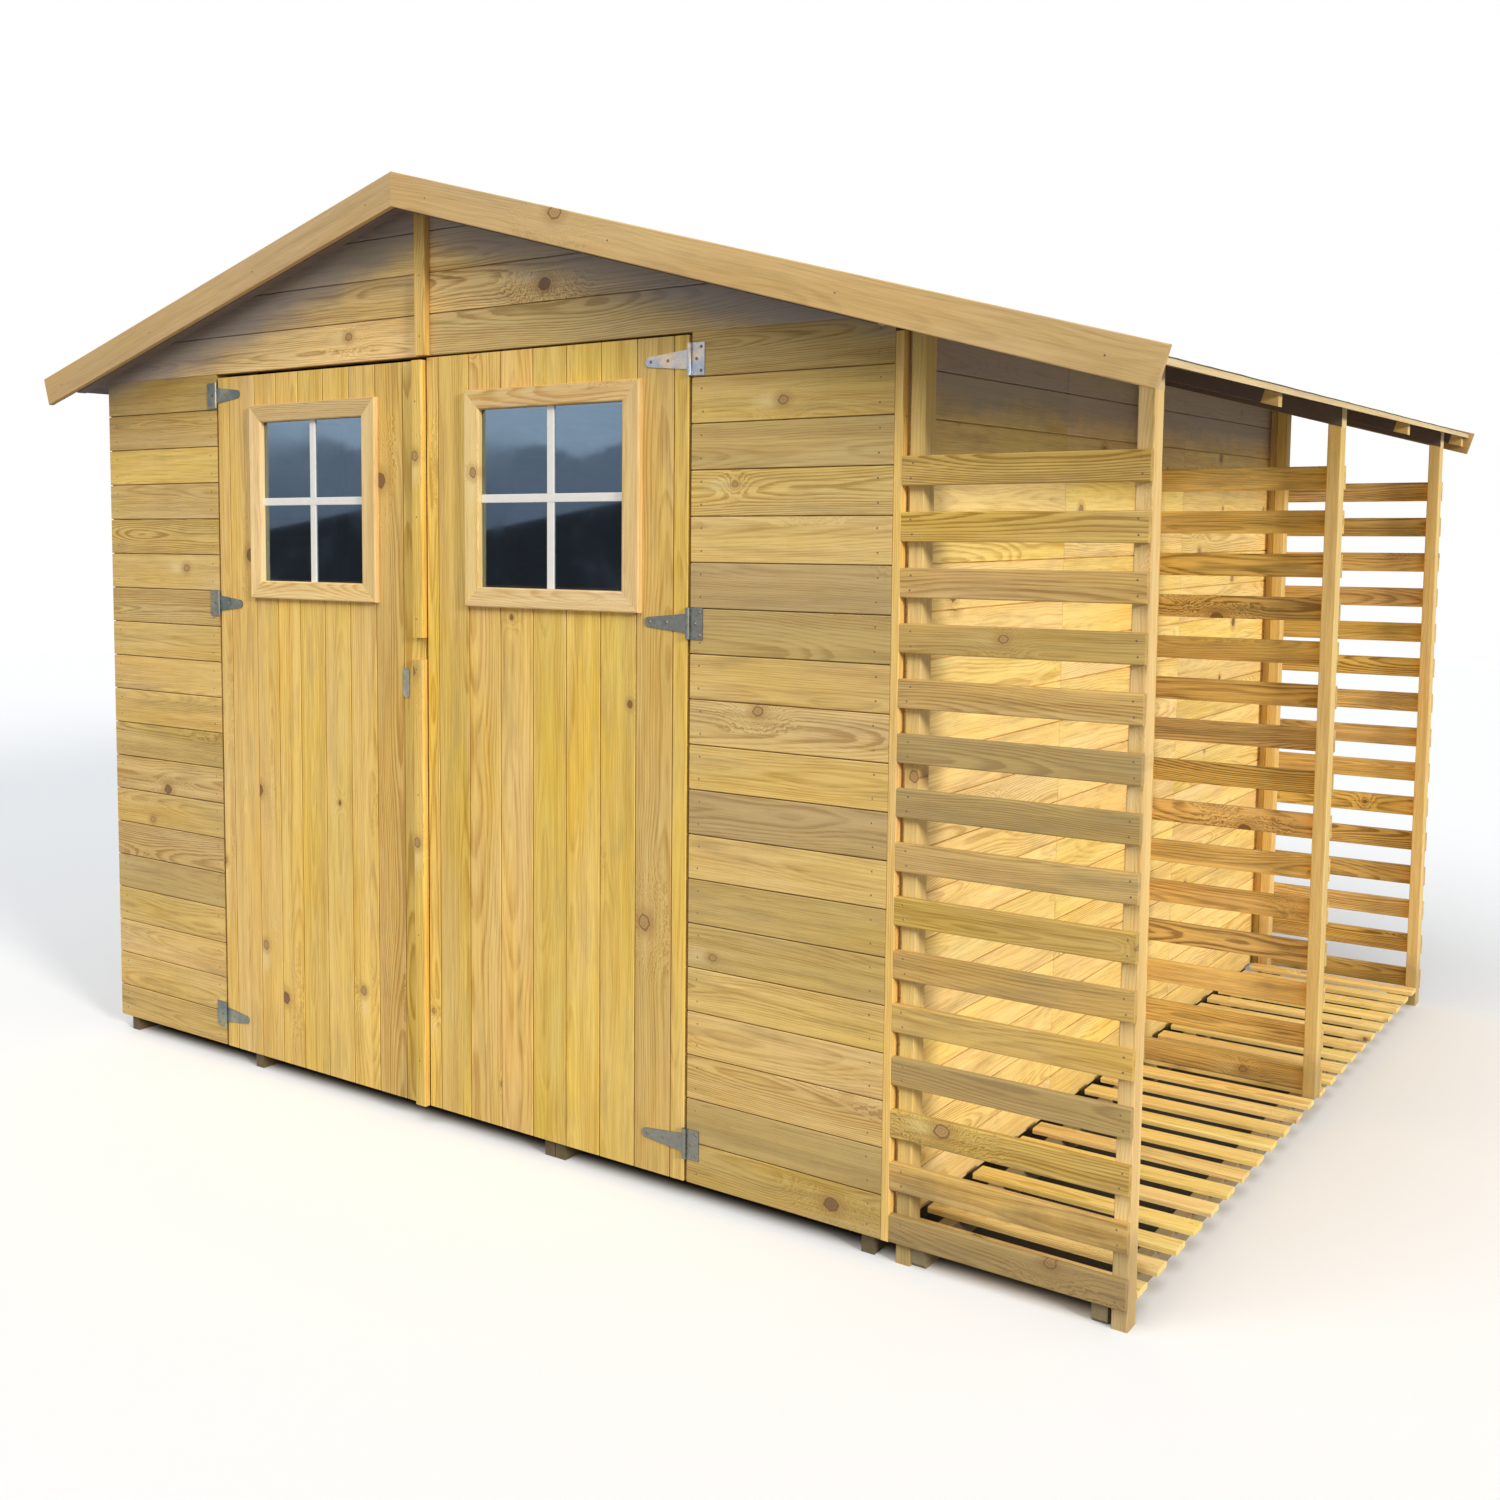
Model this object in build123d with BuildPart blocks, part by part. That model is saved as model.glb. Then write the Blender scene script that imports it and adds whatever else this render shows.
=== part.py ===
"""Gabled timber garden shed with glazed double doors and a slatted log store.

Millimetres, +Z up. The doors face -Y, the log store stands on the +X side under
the long slope of the same roof. The origin is on the ground, under the middle
of the whole building.
"""

from build123d import *
import math
import os

# The shed body
shed_width = 2400
shed_depth = 2620
wall_height = 1795
bearer_height = 45
cladding = 12
stud_depth = 34
stud_width = 45
floor_thickness = 16
side_panels = 3

# The doorway and its two leaves
doorway_width = 1490
hinge_gap = 8
meeting_gap = 8
left_door_clearance = 10
right_door_clearance = 5
sill_recess = 20
ledge_height = 70
ledge_thickness = 28
ledge_inset = 40
brace_width = 70
top_ledge = 1740
middle_ledge = 1197
bottom_ledge = 85

# The windows in the leaves
left_window_to_meeting = 151
left_window_to_hinges = 133
right_window_to_meeting = 126
right_window_to_hinges = 116
window_centre = 1461
window_height = 403
window_moulding = 45
moulding_thickness = 14
moulding_chamfer = 4
glass_thickness = 4
glass_clearance = 0.3
rebate = 6

# The strip over the meeting edges, cut away at the latch
strip_width = 30
strip_thickness = 16
strip_to_right_leaf = 5.5
latch_height = 1110
latch_notch = 52
plate_width = 22
plate_height = 72
plate_thickness = 2
plate_drop = 85
plate_offset = 66

# The T hinges
hinge_plate_width = 30
hinge_plate_height = 66
hinge_metal = 2.5
left_strap_length = 86
right_strap_length = 106
strap_root = 41
strap_tip = 21
knuckle_radius = 5
pin_radius = 2.4
pin_clearance = 0.3

# The roof
roof_slope = 16.2
gable_end_height = 20.4
deck_thickness = 12
felt_thickness = 2
gable_overhang = 95
left_overhang = 128
right_overhang = 46
rafter_width = 28
rafter_depth = 45
front_rafter = 676
back_rafter = 1930
ridge_beam_width = 28
ridge_beam_depth = 70
bargeboard_width = 75
bargeboard_thickness = 16
bargeboard_rise = 22
bargeboard_lap = 14

# The log store
store_width = 480
slat_count = 15
slat_pitch = 105.3
slat_height = 56
slat_thickness = 16
post_width = 30
post_depth = 45
wall_post_gap = 26
slat_wall_gap = 18
middle_post = 1345
rail_depth = 45
floor_slat_width = 56
floor_slat_gap = 54
floor_slat_thickness = 12
floor_slat_round = 4
floor_to_post = 4
store_bearer_width = 30
store_bearer_gap = 7
store_bearer_chamfer = 8

# The bearers under the shed, from its left side
bearer_width = 28
bearer_inset = 36
inner_bearer = 566
floor_joint = 1572
joint_bearer_gap = 2

# The trims
trim_width = 18
trim_depth = 30
gable_strip_width = 34
gable_strip_thickness = 19

# Places worked out from the sizes above
building_width = shed_width + store_width
roof_left = -left_overhang - bargeboard_lap
roof_right = building_width + right_overhang + bargeboard_lap
x0 = -(roof_left + roof_right) / 2
y0 = -shed_depth / 2
ground = 0
sill = bearer_height
x_ridge = x0 + shed_width / 2
x_right_wall = x0 + shed_width
x_store = x0 + building_width
y_back = y0 + shed_depth
door_left = x0 + (shed_width - doorway_width) / 2
door_right = door_left + doorway_width
leaf_width = (doorway_width - meeting_gap) / 2 - hinge_gap
rise = math.tan(math.radians(roof_slope))
cosine = math.cos(math.radians(roof_slope))
wall_depth = cladding + stud_depth
joint_bearer_offset = (bearer_width + joint_bearer_gap) / 2
bearer_places = (
    bearer_inset,
    inner_bearer,
    floor_joint - joint_bearer_offset,
    floor_joint + joint_bearer_offset,
    shed_width - bearer_inset,
)
deck_ridge = sill + wall_height + gable_end_height + shed_width / 2 * rise
wall_top = sill + wall_height
floor_top = sill + floor_thickness


def deck_under(x):
    """Height of the underside of the roof boards at x."""
    return deck_ridge - abs(x - x_ridge) * rise


os.makedirs("parts", exist_ok=True)


def save(part, name):
    """Label a finished piece and write its STEP file."""
    part.label = name
    export_step(part, f"parts/{name}.step")


def block(x_low, x_high, y_low, y_high, z_low, z_high):
    """Add a plain timber, given by its faces, to the part being built."""
    with Locations(((x_low + x_high) / 2, (y_low + y_high) / 2, (z_low + z_high) / 2)):
        Box(x_high - x_low, y_high - y_low, z_high - z_low)


def slope_bar(x_low, x_high, y_low, y_high, top_drop, depth):
    """Add a bar that follows one roof slope, top_drop below the roof boards."""
    with BuildSketch(Plane.XZ.offset(-y_low)) as profile:
        with BuildLine():
            Polyline(
                (x_low, deck_under(x_low) - top_drop),
                (x_high, deck_under(x_high) - top_drop),
                (x_high, deck_under(x_high) - top_drop - depth),
                (x_low, deck_under(x_low) - top_drop - depth),
                close=True,
            )
        make_face()
    extrude(profile.sketch, amount=-(y_high - y_low))


# Bearers and floor
with BuildPart() as floor_bearers:
    for place in bearer_places:
        middle = x0 + place
        block(middle - bearer_width / 2, middle + bearer_width / 2,
              y0 + sill_recess, y_back - sill_recess, ground, sill)
save(floor_bearers.part, "floor_bearers")

with BuildPart() as shed_floor:
    block(x0 + cladding, x_right_wall - cladding, y0 + sill_recess, y_back - cladding,
          sill, floor_top)
save(shed_floor.part, "shed_floor")


# Front and back walls, each in two panels
def end_panel(x_outer, x_inner, y_outer, inward, name):
    """A boarded panel with a frame inside that stops at the side wall's boards."""
    y_board = y_outer + inward * cladding
    y_frame = y_board + inward * stud_depth
    board = sorted((y_outer, y_board))
    frame = sorted((y_board, y_frame))
    side = 1 if x_outer > x_inner else -1
    x_low, x_high = sorted((x_outer - side * cladding, x_inner))
    with BuildPart() as panel:
        block(min(x_outer, x_inner), max(x_outer, x_inner), *board, sill, wall_top)
        for x_stud in (x_low, x_high - stud_width):
            block(x_stud, x_stud + stud_width, *frame, floor_top, wall_top)
        for z_rail in (floor_top, wall_top - stud_width):
            block(x_low, x_high, *frame, z_rail, z_rail + stud_width)
    save(panel.part, name)


end_panel(x0, door_left, y0, 1, "front_wall_left")
end_panel(x_right_wall, door_right, y0, 1, "front_wall_right")
end_panel(x0, x_ridge, y_back, -1, "back_wall_left")
end_panel(x_right_wall, x_ridge, y_back, -1, "back_wall_right")


# Gables, each in two halves that meet under the ridge
def gable_half(side, y_outer, inward, name):
    """Half a gable: boarding up to the roof boards, framed inside along its edges."""
    x_eave = x0 if side < 0 else x_right_wall
    x_frame = x_eave - side * wall_depth
    header_top = wall_top + stud_width
    rafter_under = deck_ridge - rafter_depth / cosine
    x_corner = x_ridge + side * (rafter_under - header_top) / rise
    y_inner = y_outer + inward * cladding
    y_frame = y_inner + inward * stud_depth
    with BuildPart() as half:
        with BuildSketch(Plane.XZ.offset(-min(y_outer, y_inner))):
            with BuildLine():
                Polyline(
                    (x_eave, wall_top),
                    (x_ridge, wall_top),
                    (x_ridge, deck_ridge),
                    (x_eave, deck_under(x_eave)),
                    close=True,
                )
            make_face()
        extrude(amount=-cladding)
        with BuildSketch(Plane.XZ.offset(-min(y_inner, y_frame))):
            with BuildLine():
                Polyline(
                    (x_frame, wall_top),
                    (x_ridge, wall_top),
                    (x_ridge, deck_ridge),
                    (x_frame, deck_under(x_frame)),
                    close=True,
                )
            make_face()
            with BuildLine():
                Polyline(
                    (x_corner, header_top),
                    (x_ridge, header_top),
                    (x_ridge, rafter_under),
                    close=True,
                )
            make_face(mode=Mode.SUBTRACT)
        extrude(amount=-stud_depth)
    save(half.part, name)


gable_half(-1, y0, 1, "front_gable_left")
gable_half(1, y0, 1, "front_gable_right")
gable_half(-1, y_back, -1, "back_gable_left")
gable_half(1, y_back, -1, "back_gable_right")

with BuildPart() as gable_strip:
    half_strip = gable_strip_width / 2
    block(x_ridge - half_strip, x_ridge + half_strip, y0 - gable_strip_thickness, y0,
          wall_top, deck_under(x_ridge + half_strip))
save(gable_strip.part, "gable_cover_strip")


# Side walls, boarded outside and framed inside
def side_wall(x_outer, inward, name):
    """A long wall in panels, with studs at the panel joints and rails top and bottom."""
    x_board = x_outer + inward * cladding
    x_frame = x_board + inward * stud_depth
    board = sorted((x_outer, x_board))
    frame = sorted((x_board, x_frame))
    z_top = deck_under(x_outer) - rafter_depth / cosine
    y_low = y0 + cladding
    y_high = y_back - cladding
    y_first = y0 + wall_depth
    y_last = y_back - wall_depth
    with BuildPart() as wall:
        block(*board, y_low, y_high, sill, z_top)
        for index in range(side_panels + 1):
            y_stud = y_first + index * (y_last - y_first - stud_width) / side_panels
            block(*frame, y_stud, y_stud + stud_width, floor_top, z_top)
        for z_rail in (floor_top, z_top - stud_width):
            block(*frame, y_first, y_last, z_rail, z_rail + stud_width)
    save(wall.part, name)


side_wall(x0, 1, "left_wall")
side_wall(x_right_wall, -1, "right_wall")


# Corner trims on the store side of the shed
with BuildPart() as corner_trims:
    for y_low in (y0, y_back - trim_depth):
        block(x_right_wall, x_right_wall + trim_width, y_low, y_low + trim_depth,
              sill, deck_under(x_right_wall + trim_width) - rafter_depth / cosine)
save(corner_trims.part, "corner_trims")


# Door leaves
def door_leaf(side, window_to_meeting, window_to_hinges, door_clearance, prefix):
    """One leaf: boards with a window cut through, ledges and brace, moulding and glass."""
    hinge_edge = (door_left + hinge_gap) if side < 0 else (door_right - hinge_gap)
    free_edge = x_ridge + side * meeting_gap / 2
    x_low = min(hinge_edge, free_edge)
    x_high = max(hinge_edge, free_edge)
    window_width = leaf_width - window_to_meeting - window_to_hinges - 2 * window_moulding
    x_window = free_edge + side * (window_to_meeting + window_moulding + window_width / 2)
    z_window = sill + window_centre
    y_inner = y0 + cladding

    with BuildPart() as boards:
        block(x_low, x_high, y0, y_inner, sill, wall_top - door_clearance)
        with BuildSketch(Plane.XZ.offset(-y0)):
            with Locations((x_window, z_window)):
                Rectangle(window_width + 2 * rebate, window_height + 2 * rebate)
        extrude(amount=-cladding, mode=Mode.SUBTRACT)
    save(boards.part, prefix + "_boards")

    with BuildPart() as braces:
        for z_ledge in (bottom_ledge, middle_ledge, top_ledge):
            block(x_low + ledge_inset, x_high - ledge_inset, y_inner, y_inner + ledge_thickness,
                  sill + z_ledge - ledge_height / 2, sill + z_ledge + ledge_height / 2)
        with BuildSketch(Plane.XZ.offset(-y_inner)):
            with BuildLine():
                x_foot = hinge_edge - side * ledge_inset
                x_head = free_edge + side * ledge_inset
                Polyline(
                    (x_foot, sill + bottom_ledge),
                    (x_foot - side * brace_width, sill + bottom_ledge),
                    (x_head, sill + middle_ledge),
                    (x_head + side * brace_width, sill + middle_ledge),
                    close=True,
                )
            make_face()
        extrude(amount=-ledge_thickness)
    save(braces.part, prefix + "_braces")

    with BuildPart() as moulding:
        with BuildSketch(Plane.XZ.offset(-y0)):
            with Locations((x_window, z_window)):
                Rectangle(window_width + 2 * window_moulding, window_height + 2 * window_moulding)
                Rectangle(window_width, window_height, mode=Mode.SUBTRACT)
        extrude(amount=moulding_thickness)
        front = moulding.faces().sort_by(Axis.Y)[0]
        chamfer(front.edges(), moulding_chamfer)
    save(moulding.part, prefix + "_window_frame")

    with BuildPart() as glass:
        pane_width = window_width + 2 * (rebate - glass_clearance)
        pane_height = window_height + 2 * (rebate - glass_clearance)
        block(x_window - pane_width / 2, x_window + pane_width / 2,
              y0 + glass_clearance, y0 + glass_clearance + glass_thickness,
              z_window - pane_height / 2, z_window + pane_height / 2)
    save(glass.part, prefix + "_glass")


door_leaf(-1, left_window_to_meeting, left_window_to_hinges, left_door_clearance, "left_door")
door_leaf(1, right_window_to_meeting, right_window_to_hinges, right_door_clearance, "right_door")

strip_right = x_ridge + meeting_gap / 2 - strip_to_right_leaf
with BuildPart() as cover_strip:
    for z_low, z_high in ((sill, sill + latch_height - latch_notch / 2),
                          (sill + latch_height + latch_notch / 2, wall_top - left_door_clearance)):
        block(strip_right - strip_width, strip_right, y0 - strip_thickness, y0, z_low, z_high)
save(cover_strip.part, "door_cover_strip")

with BuildPart() as latch_plate:
    with BuildSketch(Plane.XZ.offset(-y0)):
        with Locations((x_ridge - plate_offset, sill + latch_height - plate_drop)):
            SlotCenterToCenter(plate_height - plate_width, plate_width, rotation=90)
    extrude(amount=plate_thickness)
save(latch_plate.part, "latch_plate")


# T hinges: the plate and pin stay on the wall, the strap turns with the leaf
def hinge_pair(side, strap_length, name_plate, name_strap):
    """Three T hinges of one leaf, in two nodes."""
    x_axis = (door_left + hinge_gap / 2) if side < 0 else (door_right - hinge_gap / 2)
    y_axis = y0 - knuckle_radius
    knuckle = (hinge_plate_height - strap_root) / 2 - pin_clearance

    with BuildPart() as plates:
        for z_hinge in (bottom_ledge, middle_ledge, top_ledge):
            z_middle = sill + z_hinge
            x_near = x_axis + side * (knuckle_radius + pin_clearance)
            x_far = x_axis + side * (knuckle_radius + hinge_plate_width)
            block(min(x_near, x_far), max(x_near, x_far), y0 - hinge_metal, y0,
                  z_middle - hinge_plate_height / 2, z_middle + hinge_plate_height / 2)
            for end in (-1, 1):
                z_end = z_middle + end * (hinge_plate_height - knuckle) / 2
                block(min(x_axis, x_near), max(x_axis, x_near), y0 - hinge_metal, y0,
                      z_end - knuckle / 2, z_end + knuckle / 2)
                with Locations((x_axis, y_axis, z_end)):
                    Cylinder(knuckle_radius, knuckle)
            with Locations((x_axis, y_axis, z_middle)):
                Cylinder(pin_radius, hinge_plate_height)
    save(plates.part, name_plate)

    with BuildPart() as straps:
        for z_hinge in (bottom_ledge, middle_ledge, top_ledge):
            z_middle = sill + z_hinge
            with BuildSketch(Plane.XZ.offset(-y0)):
                x_root = x_axis
                x_tip = x_axis - side * (knuckle_radius + strap_length - strap_tip / 2)
                with BuildLine():
                    Polyline(
                        (x_root, z_middle - strap_root / 2),
                        (x_root, z_middle + strap_root / 2),
                        (x_tip, z_middle + strap_tip / 2),
                        (x_tip, z_middle - strap_tip / 2),
                        close=True,
                    )
                make_face()
                with Locations((x_tip, z_middle)):
                    Circle(strap_tip / 2)
            extrude(amount=hinge_metal)
            with Locations((x_axis, y_axis, z_middle)):
                Cylinder(knuckle_radius, strap_root)
                Cylinder(pin_radius + pin_clearance, strap_root, mode=Mode.SUBTRACT)
    save(straps.part, name_strap)


hinge_pair(-1, left_strap_length, "left_hinge_plates", "left_hinge_straps")
hinge_pair(1, right_strap_length, "right_hinge_plates", "right_hinge_straps")


# Roof boards, felt and rafters
x_eaves = {-1: x0 - left_overhang, 1: x_store + right_overhang}
y_roof_front = y0 - gable_overhang
y_roof_back = y_back + gable_overhang

for side, word in ((-1, "left"), (1, "right")):
    with BuildPart() as deck:
        slope_bar(x_ridge, x_eaves[side], y_roof_front, y_roof_back,
                  -deck_thickness / cosine, deck_thickness / cosine)
    save(deck.part, f"roof_deck_{word}")

with BuildPart() as roof_felt:
    felt_low = -deck_thickness / cosine
    felt_high = felt_low - felt_thickness / cosine
    with BuildSketch(Plane.XZ.offset(-y_roof_front)):
        with BuildLine():
            Polyline(
                (x_eaves[-1], deck_under(x_eaves[-1]) - felt_low),
                (x_ridge, deck_ridge - felt_low),
                (x_eaves[1], deck_under(x_eaves[1]) - felt_low),
                (x_eaves[1], deck_under(x_eaves[1]) - felt_high),
                (x_ridge, deck_ridge - felt_high),
                (x_eaves[-1], deck_under(x_eaves[-1]) - felt_high),
                close=True,
            )
        make_face()
    extrude(amount=-(y_roof_back - y_roof_front))
save(roof_felt.part, "roof_felt")

rafter_rows = (
    y_roof_front,
    y0 + front_rafter - rafter_width / 2,
    y0 + back_rafter - rafter_width / 2,
    y_roof_back - rafter_width,
)
for side, word in ((-1, "left"), (1, "right")):
    x_end = x_eaves[side] - side * bargeboard_lap
    with BuildPart() as rafters:
        for y_rafter in rafter_rows:
            slope_bar(x_ridge, x_end, y_rafter, y_rafter + rafter_width, 0, rafter_depth / cosine)
    save(rafters.part, f"rafters_{word}")

with BuildPart() as ridge_beam:
    with BuildSketch(Plane.XZ.offset(-(y0 + cladding))):
        with BuildLine():
            half = ridge_beam_width / 2
            beam_top = deck_ridge - rafter_depth / cosine
            Polyline(
                (x_ridge - half, beam_top - half * rise),
                (x_ridge, beam_top),
                (x_ridge + half, beam_top - half * rise),
                (x_ridge + half, beam_top - ridge_beam_depth),
                (x_ridge - half, beam_top - ridge_beam_depth),
                close=True,
            )
        make_face()
    extrude(amount=-(shed_depth - 2 * cladding))
save(ridge_beam.part, "ridge_beam")

with BuildPart() as eaves_blocks:
    y_stops = [y0 + wall_depth]
    for y_rafter in rafter_rows[1:3]:
        y_stops += [y_rafter, y_rafter + rafter_width]
    y_stops.append(y_back - wall_depth)
    for side, x_wall in ((-1, x0), (1, x_right_wall)):
        x_inner = x_wall - side * rafter_width
        for y_low, y_high in zip(y_stops[0::2], y_stops[1::2]):
            slope_bar(x_inner, x_wall, y_low, y_high, 0, rafter_depth / cosine)
save(eaves_blocks.part, "eaves_blocks")


# Bargeboards, two at each end, meeting at the ridge
def bargeboard(side, y_low, name):
    """A board along one slope, plumb at the ridge and square at its foot."""
    x_top = x_eaves[side] + side * bargeboard_lap
    z_top = deck_under(x_top) + bargeboard_rise + deck_thickness
    angle = math.radians(roof_slope)
    x_foot = x_top - side * bargeboard_width * math.sin(angle)
    z_foot = z_top - bargeboard_width * math.cos(angle)
    with BuildPart() as board:
        with BuildSketch(Plane.XZ.offset(-y_low)):
            with BuildLine():
                Polyline(
                    (x_ridge, deck_ridge + bargeboard_rise + deck_thickness),
                    (x_top, z_top),
                    (x_foot, z_foot),
                    (x_ridge, deck_ridge + bargeboard_rise + deck_thickness
                     - bargeboard_width / cosine),
                    close=True,
                )
            make_face()
        extrude(amount=-bargeboard_thickness)
    save(board.part, name)


for side, word in ((-1, "left"), (1, "right")):
    bargeboard(side, y_roof_front - bargeboard_thickness, f"front_bargeboard_{word}")
    bargeboard(side, y_roof_back, f"back_bargeboard_{word}")

# Log store
x_slats = x_right_wall + slat_wall_gap
x_wall_post = x_right_wall + wall_post_gap
x_outer_post = x_store - post_width


def lattice(y_posts, slats_behind, z_foot, z_first, name):
    """Two posts, a sloping top rail and fifteen level slats, as one side of a bay."""
    y_slats = y_posts + post_depth if slats_behind else y_posts - slat_thickness
    with BuildPart() as panel:
        for x_post in (x_wall_post, x_outer_post):
            with BuildSketch(Plane.XZ.offset(-y_posts)):
                with BuildLine():
                    Polyline(
                        (x_post, z_foot),
                        (x_post + post_width, z_foot),
                        (x_post + post_width, deck_under(x_post + post_width) - rail_depth),
                        (x_post, deck_under(x_post) - rail_depth),
                        close=True,
                    )
                make_face()
            extrude(amount=-post_depth)
        slope_bar(x_right_wall, x_store, y_posts, y_posts + post_depth, 0, rail_depth)
        for index in range(slat_count):
            z_slat = z_first + index * slat_pitch
            block(x_slats, x_store, y_slats, y_slats + slat_thickness, z_slat, z_slat + slat_height)
    save(panel.part, name)


y_front_posts = y0 + slat_thickness
y_middle_posts = y0 + middle_post
y_back_posts = y_back - slat_thickness - post_depth
store_floor_top = sill + floor_slat_thickness
lattice(y_front_posts, False, ground, sill, "front_lattice")
lattice(y_middle_posts, True, store_floor_top, store_floor_top, "middle_lattice")
lattice(y_back_posts, True, ground, sill, "back_lattice")

y_floor_first = y_front_posts + post_depth + floor_to_post
y_floor_last = y_back_posts - floor_to_post
floor_slat_count = int((y_floor_last - y_floor_first + floor_slat_gap)
                       // (floor_slat_width + floor_slat_gap))
floor_pitch = (y_floor_last - y_floor_first - floor_slat_width) / (floor_slat_count - 1)
with BuildPart() as store_floor:
    for index in range(floor_slat_count):
        y_slat = y_floor_first + index * floor_pitch
        block(x_slats, x_store, y_slat, y_slat + floor_slat_width, sill, store_floor_top)
    upper = store_floor.edges().filter_by(Axis.X).group_by(Axis.Z)[-1]
    fillet(upper, floor_slat_round)
save(store_floor.part, "store_floor_slats")

with BuildPart() as store_bearers:
    for x_bearer in (x_wall_post + post_width,
                     x_outer_post - store_bearer_gap - store_bearer_width):
        block(x_bearer, x_bearer + store_bearer_width, y0 + sill_recess, y_back - sill_recess,
              ground, sill)
    lower = store_bearers.edges().filter_by(Axis.X).group_by(Axis.Z)[0]
    chamfer(lower, store_bearer_chamfer)
save(store_bearers.part, "store_bearers")
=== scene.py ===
# %% [markdown]
# A timber garden shed with glazed double doors and a slatted log store.
# The imported model gives every wall, leaf and roof slope its place, in metres.
# This lesson dresses that model board by board. It starts by loading it, and ends by
# measuring the bounds of the finished scene.

# %% Load the imported model
import math
import random
import bmesh
import bpy
from mathutils import Matrix, Vector


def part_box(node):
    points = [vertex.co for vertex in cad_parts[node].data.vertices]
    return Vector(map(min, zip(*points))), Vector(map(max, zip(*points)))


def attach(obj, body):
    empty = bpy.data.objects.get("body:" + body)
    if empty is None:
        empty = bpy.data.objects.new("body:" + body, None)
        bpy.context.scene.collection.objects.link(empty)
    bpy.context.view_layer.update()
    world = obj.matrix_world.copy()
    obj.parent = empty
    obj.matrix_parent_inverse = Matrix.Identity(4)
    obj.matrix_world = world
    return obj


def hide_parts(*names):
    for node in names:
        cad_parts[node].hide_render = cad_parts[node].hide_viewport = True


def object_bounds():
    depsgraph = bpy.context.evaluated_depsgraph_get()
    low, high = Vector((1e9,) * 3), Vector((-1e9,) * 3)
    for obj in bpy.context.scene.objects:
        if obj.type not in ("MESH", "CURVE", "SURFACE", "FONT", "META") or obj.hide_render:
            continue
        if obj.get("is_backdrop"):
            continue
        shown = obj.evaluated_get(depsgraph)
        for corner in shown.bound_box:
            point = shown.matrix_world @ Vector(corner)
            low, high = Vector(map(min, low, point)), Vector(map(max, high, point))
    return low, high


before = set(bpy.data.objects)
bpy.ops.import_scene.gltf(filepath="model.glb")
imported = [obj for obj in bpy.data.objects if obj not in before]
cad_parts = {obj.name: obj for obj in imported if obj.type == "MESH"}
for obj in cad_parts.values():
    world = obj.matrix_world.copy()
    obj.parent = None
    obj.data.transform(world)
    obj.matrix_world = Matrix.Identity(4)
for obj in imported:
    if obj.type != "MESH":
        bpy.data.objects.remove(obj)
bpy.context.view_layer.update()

# %% [markdown]
# A shed is built from a few lines: its corners, the sill, the head of the walls and
# the slope of the roof. Reading them from the model's own nodes keeps each board
# where its solid is. What no box can tell is written here: the slope, in degrees, and
# the thickness of boards, studs and rafters.

# %% The main lines of the building
MM = 0.001
X, Y, Z = 0, 1, 2
wall_low, left_panel_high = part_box("front_wall_left")
x_left, y_front, z_sill = wall_low
z_head = left_panel_high.z
door_left, door_right = left_panel_high.x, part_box("front_wall_right")[0].x
x_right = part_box("front_wall_right")[1].x
y_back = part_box("back_wall_left")[1].y
x_ridge = (x_left + x_right) / 2
x_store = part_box("front_lattice")[1].x
z_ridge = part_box("front_gable_left")[1].z
z_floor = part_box("shed_floor")[1].z
z_store_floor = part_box("store_floor_slats")[1].z
slope = math.radians(16.2)
board = 12 * MM
stud = 45 * MM
frame_depth = 34 * MM
wall_depth = board + frame_depth
rafter_width, rafter_depth = 28 * MM, 45 * MM
print("front", round(x_right - x_left, 3), "depth", round(y_back - y_front, 3))


# %% Directions and cutting planes
def unit(axis, sign=1):
    """The unit vector along an axis."""
    return Vector([sign if i == axis else 0 for i in range(3)])


def slope_axes(side):
    """The way down one roof slope, and the way square up from it."""
    return (Vector((side * math.cos(slope), 0, -math.sin(slope))),
            Vector((side * math.sin(slope), 0, math.cos(slope))))


def roof_under(x):
    """Height of the underside of the roof boards at x."""
    return z_ridge - abs(x - x_ridge) * math.tan(slope)


def beyond(axis, at, sign=1):
    """A plane square to an axis, for cutting away what lies beyond it."""
    return unit(axis) * at, unit(axis, sign)


def roof_plane(side, drop=0.0):
    """The underside of one roof slope as a cutting plane, or a plane lower by a drop."""
    return Vector((x_ridge, 0, z_ridge - drop)), slope_axes(side)[1]


def turned(centre, along, across, face):
    """The matrix that turns a piece's own X, Y and Z to three directions, at a centre."""
    return Matrix.Translation(centre) @ Matrix((along, across, face)).transposed().to_4x4()


print("ridge", [round(v, 3) for v in roof_plane(1)[0]])

# %% [markdown]
# Most of the building is sawn timber, so one helper makes every piece of it. A cube is
# made to size, its long edges are eased with a bevel, and it is turned into place.
# Before it is turned, each vertex keeps where it is in the tree: so far along the
# grain, so far from the pith. The wood material reads that, so the grain runs through
# each timber as it does in a real one, round its edges and out at its ends.

# %% A helper that saws one timber
luck = random.Random(11)
sawdust = bpy.data.meshes.new("sawdust")


def tree_place():
    """Somewhere in a log: so far along it, the pith beside this timber, and a tone."""
    return (luck.uniform(0, 40), luck.uniform(-45, 45) * MM,
            luck.choice((-1, 1)) * luck.uniform(12, 95) * MM, luck.random())


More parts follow.
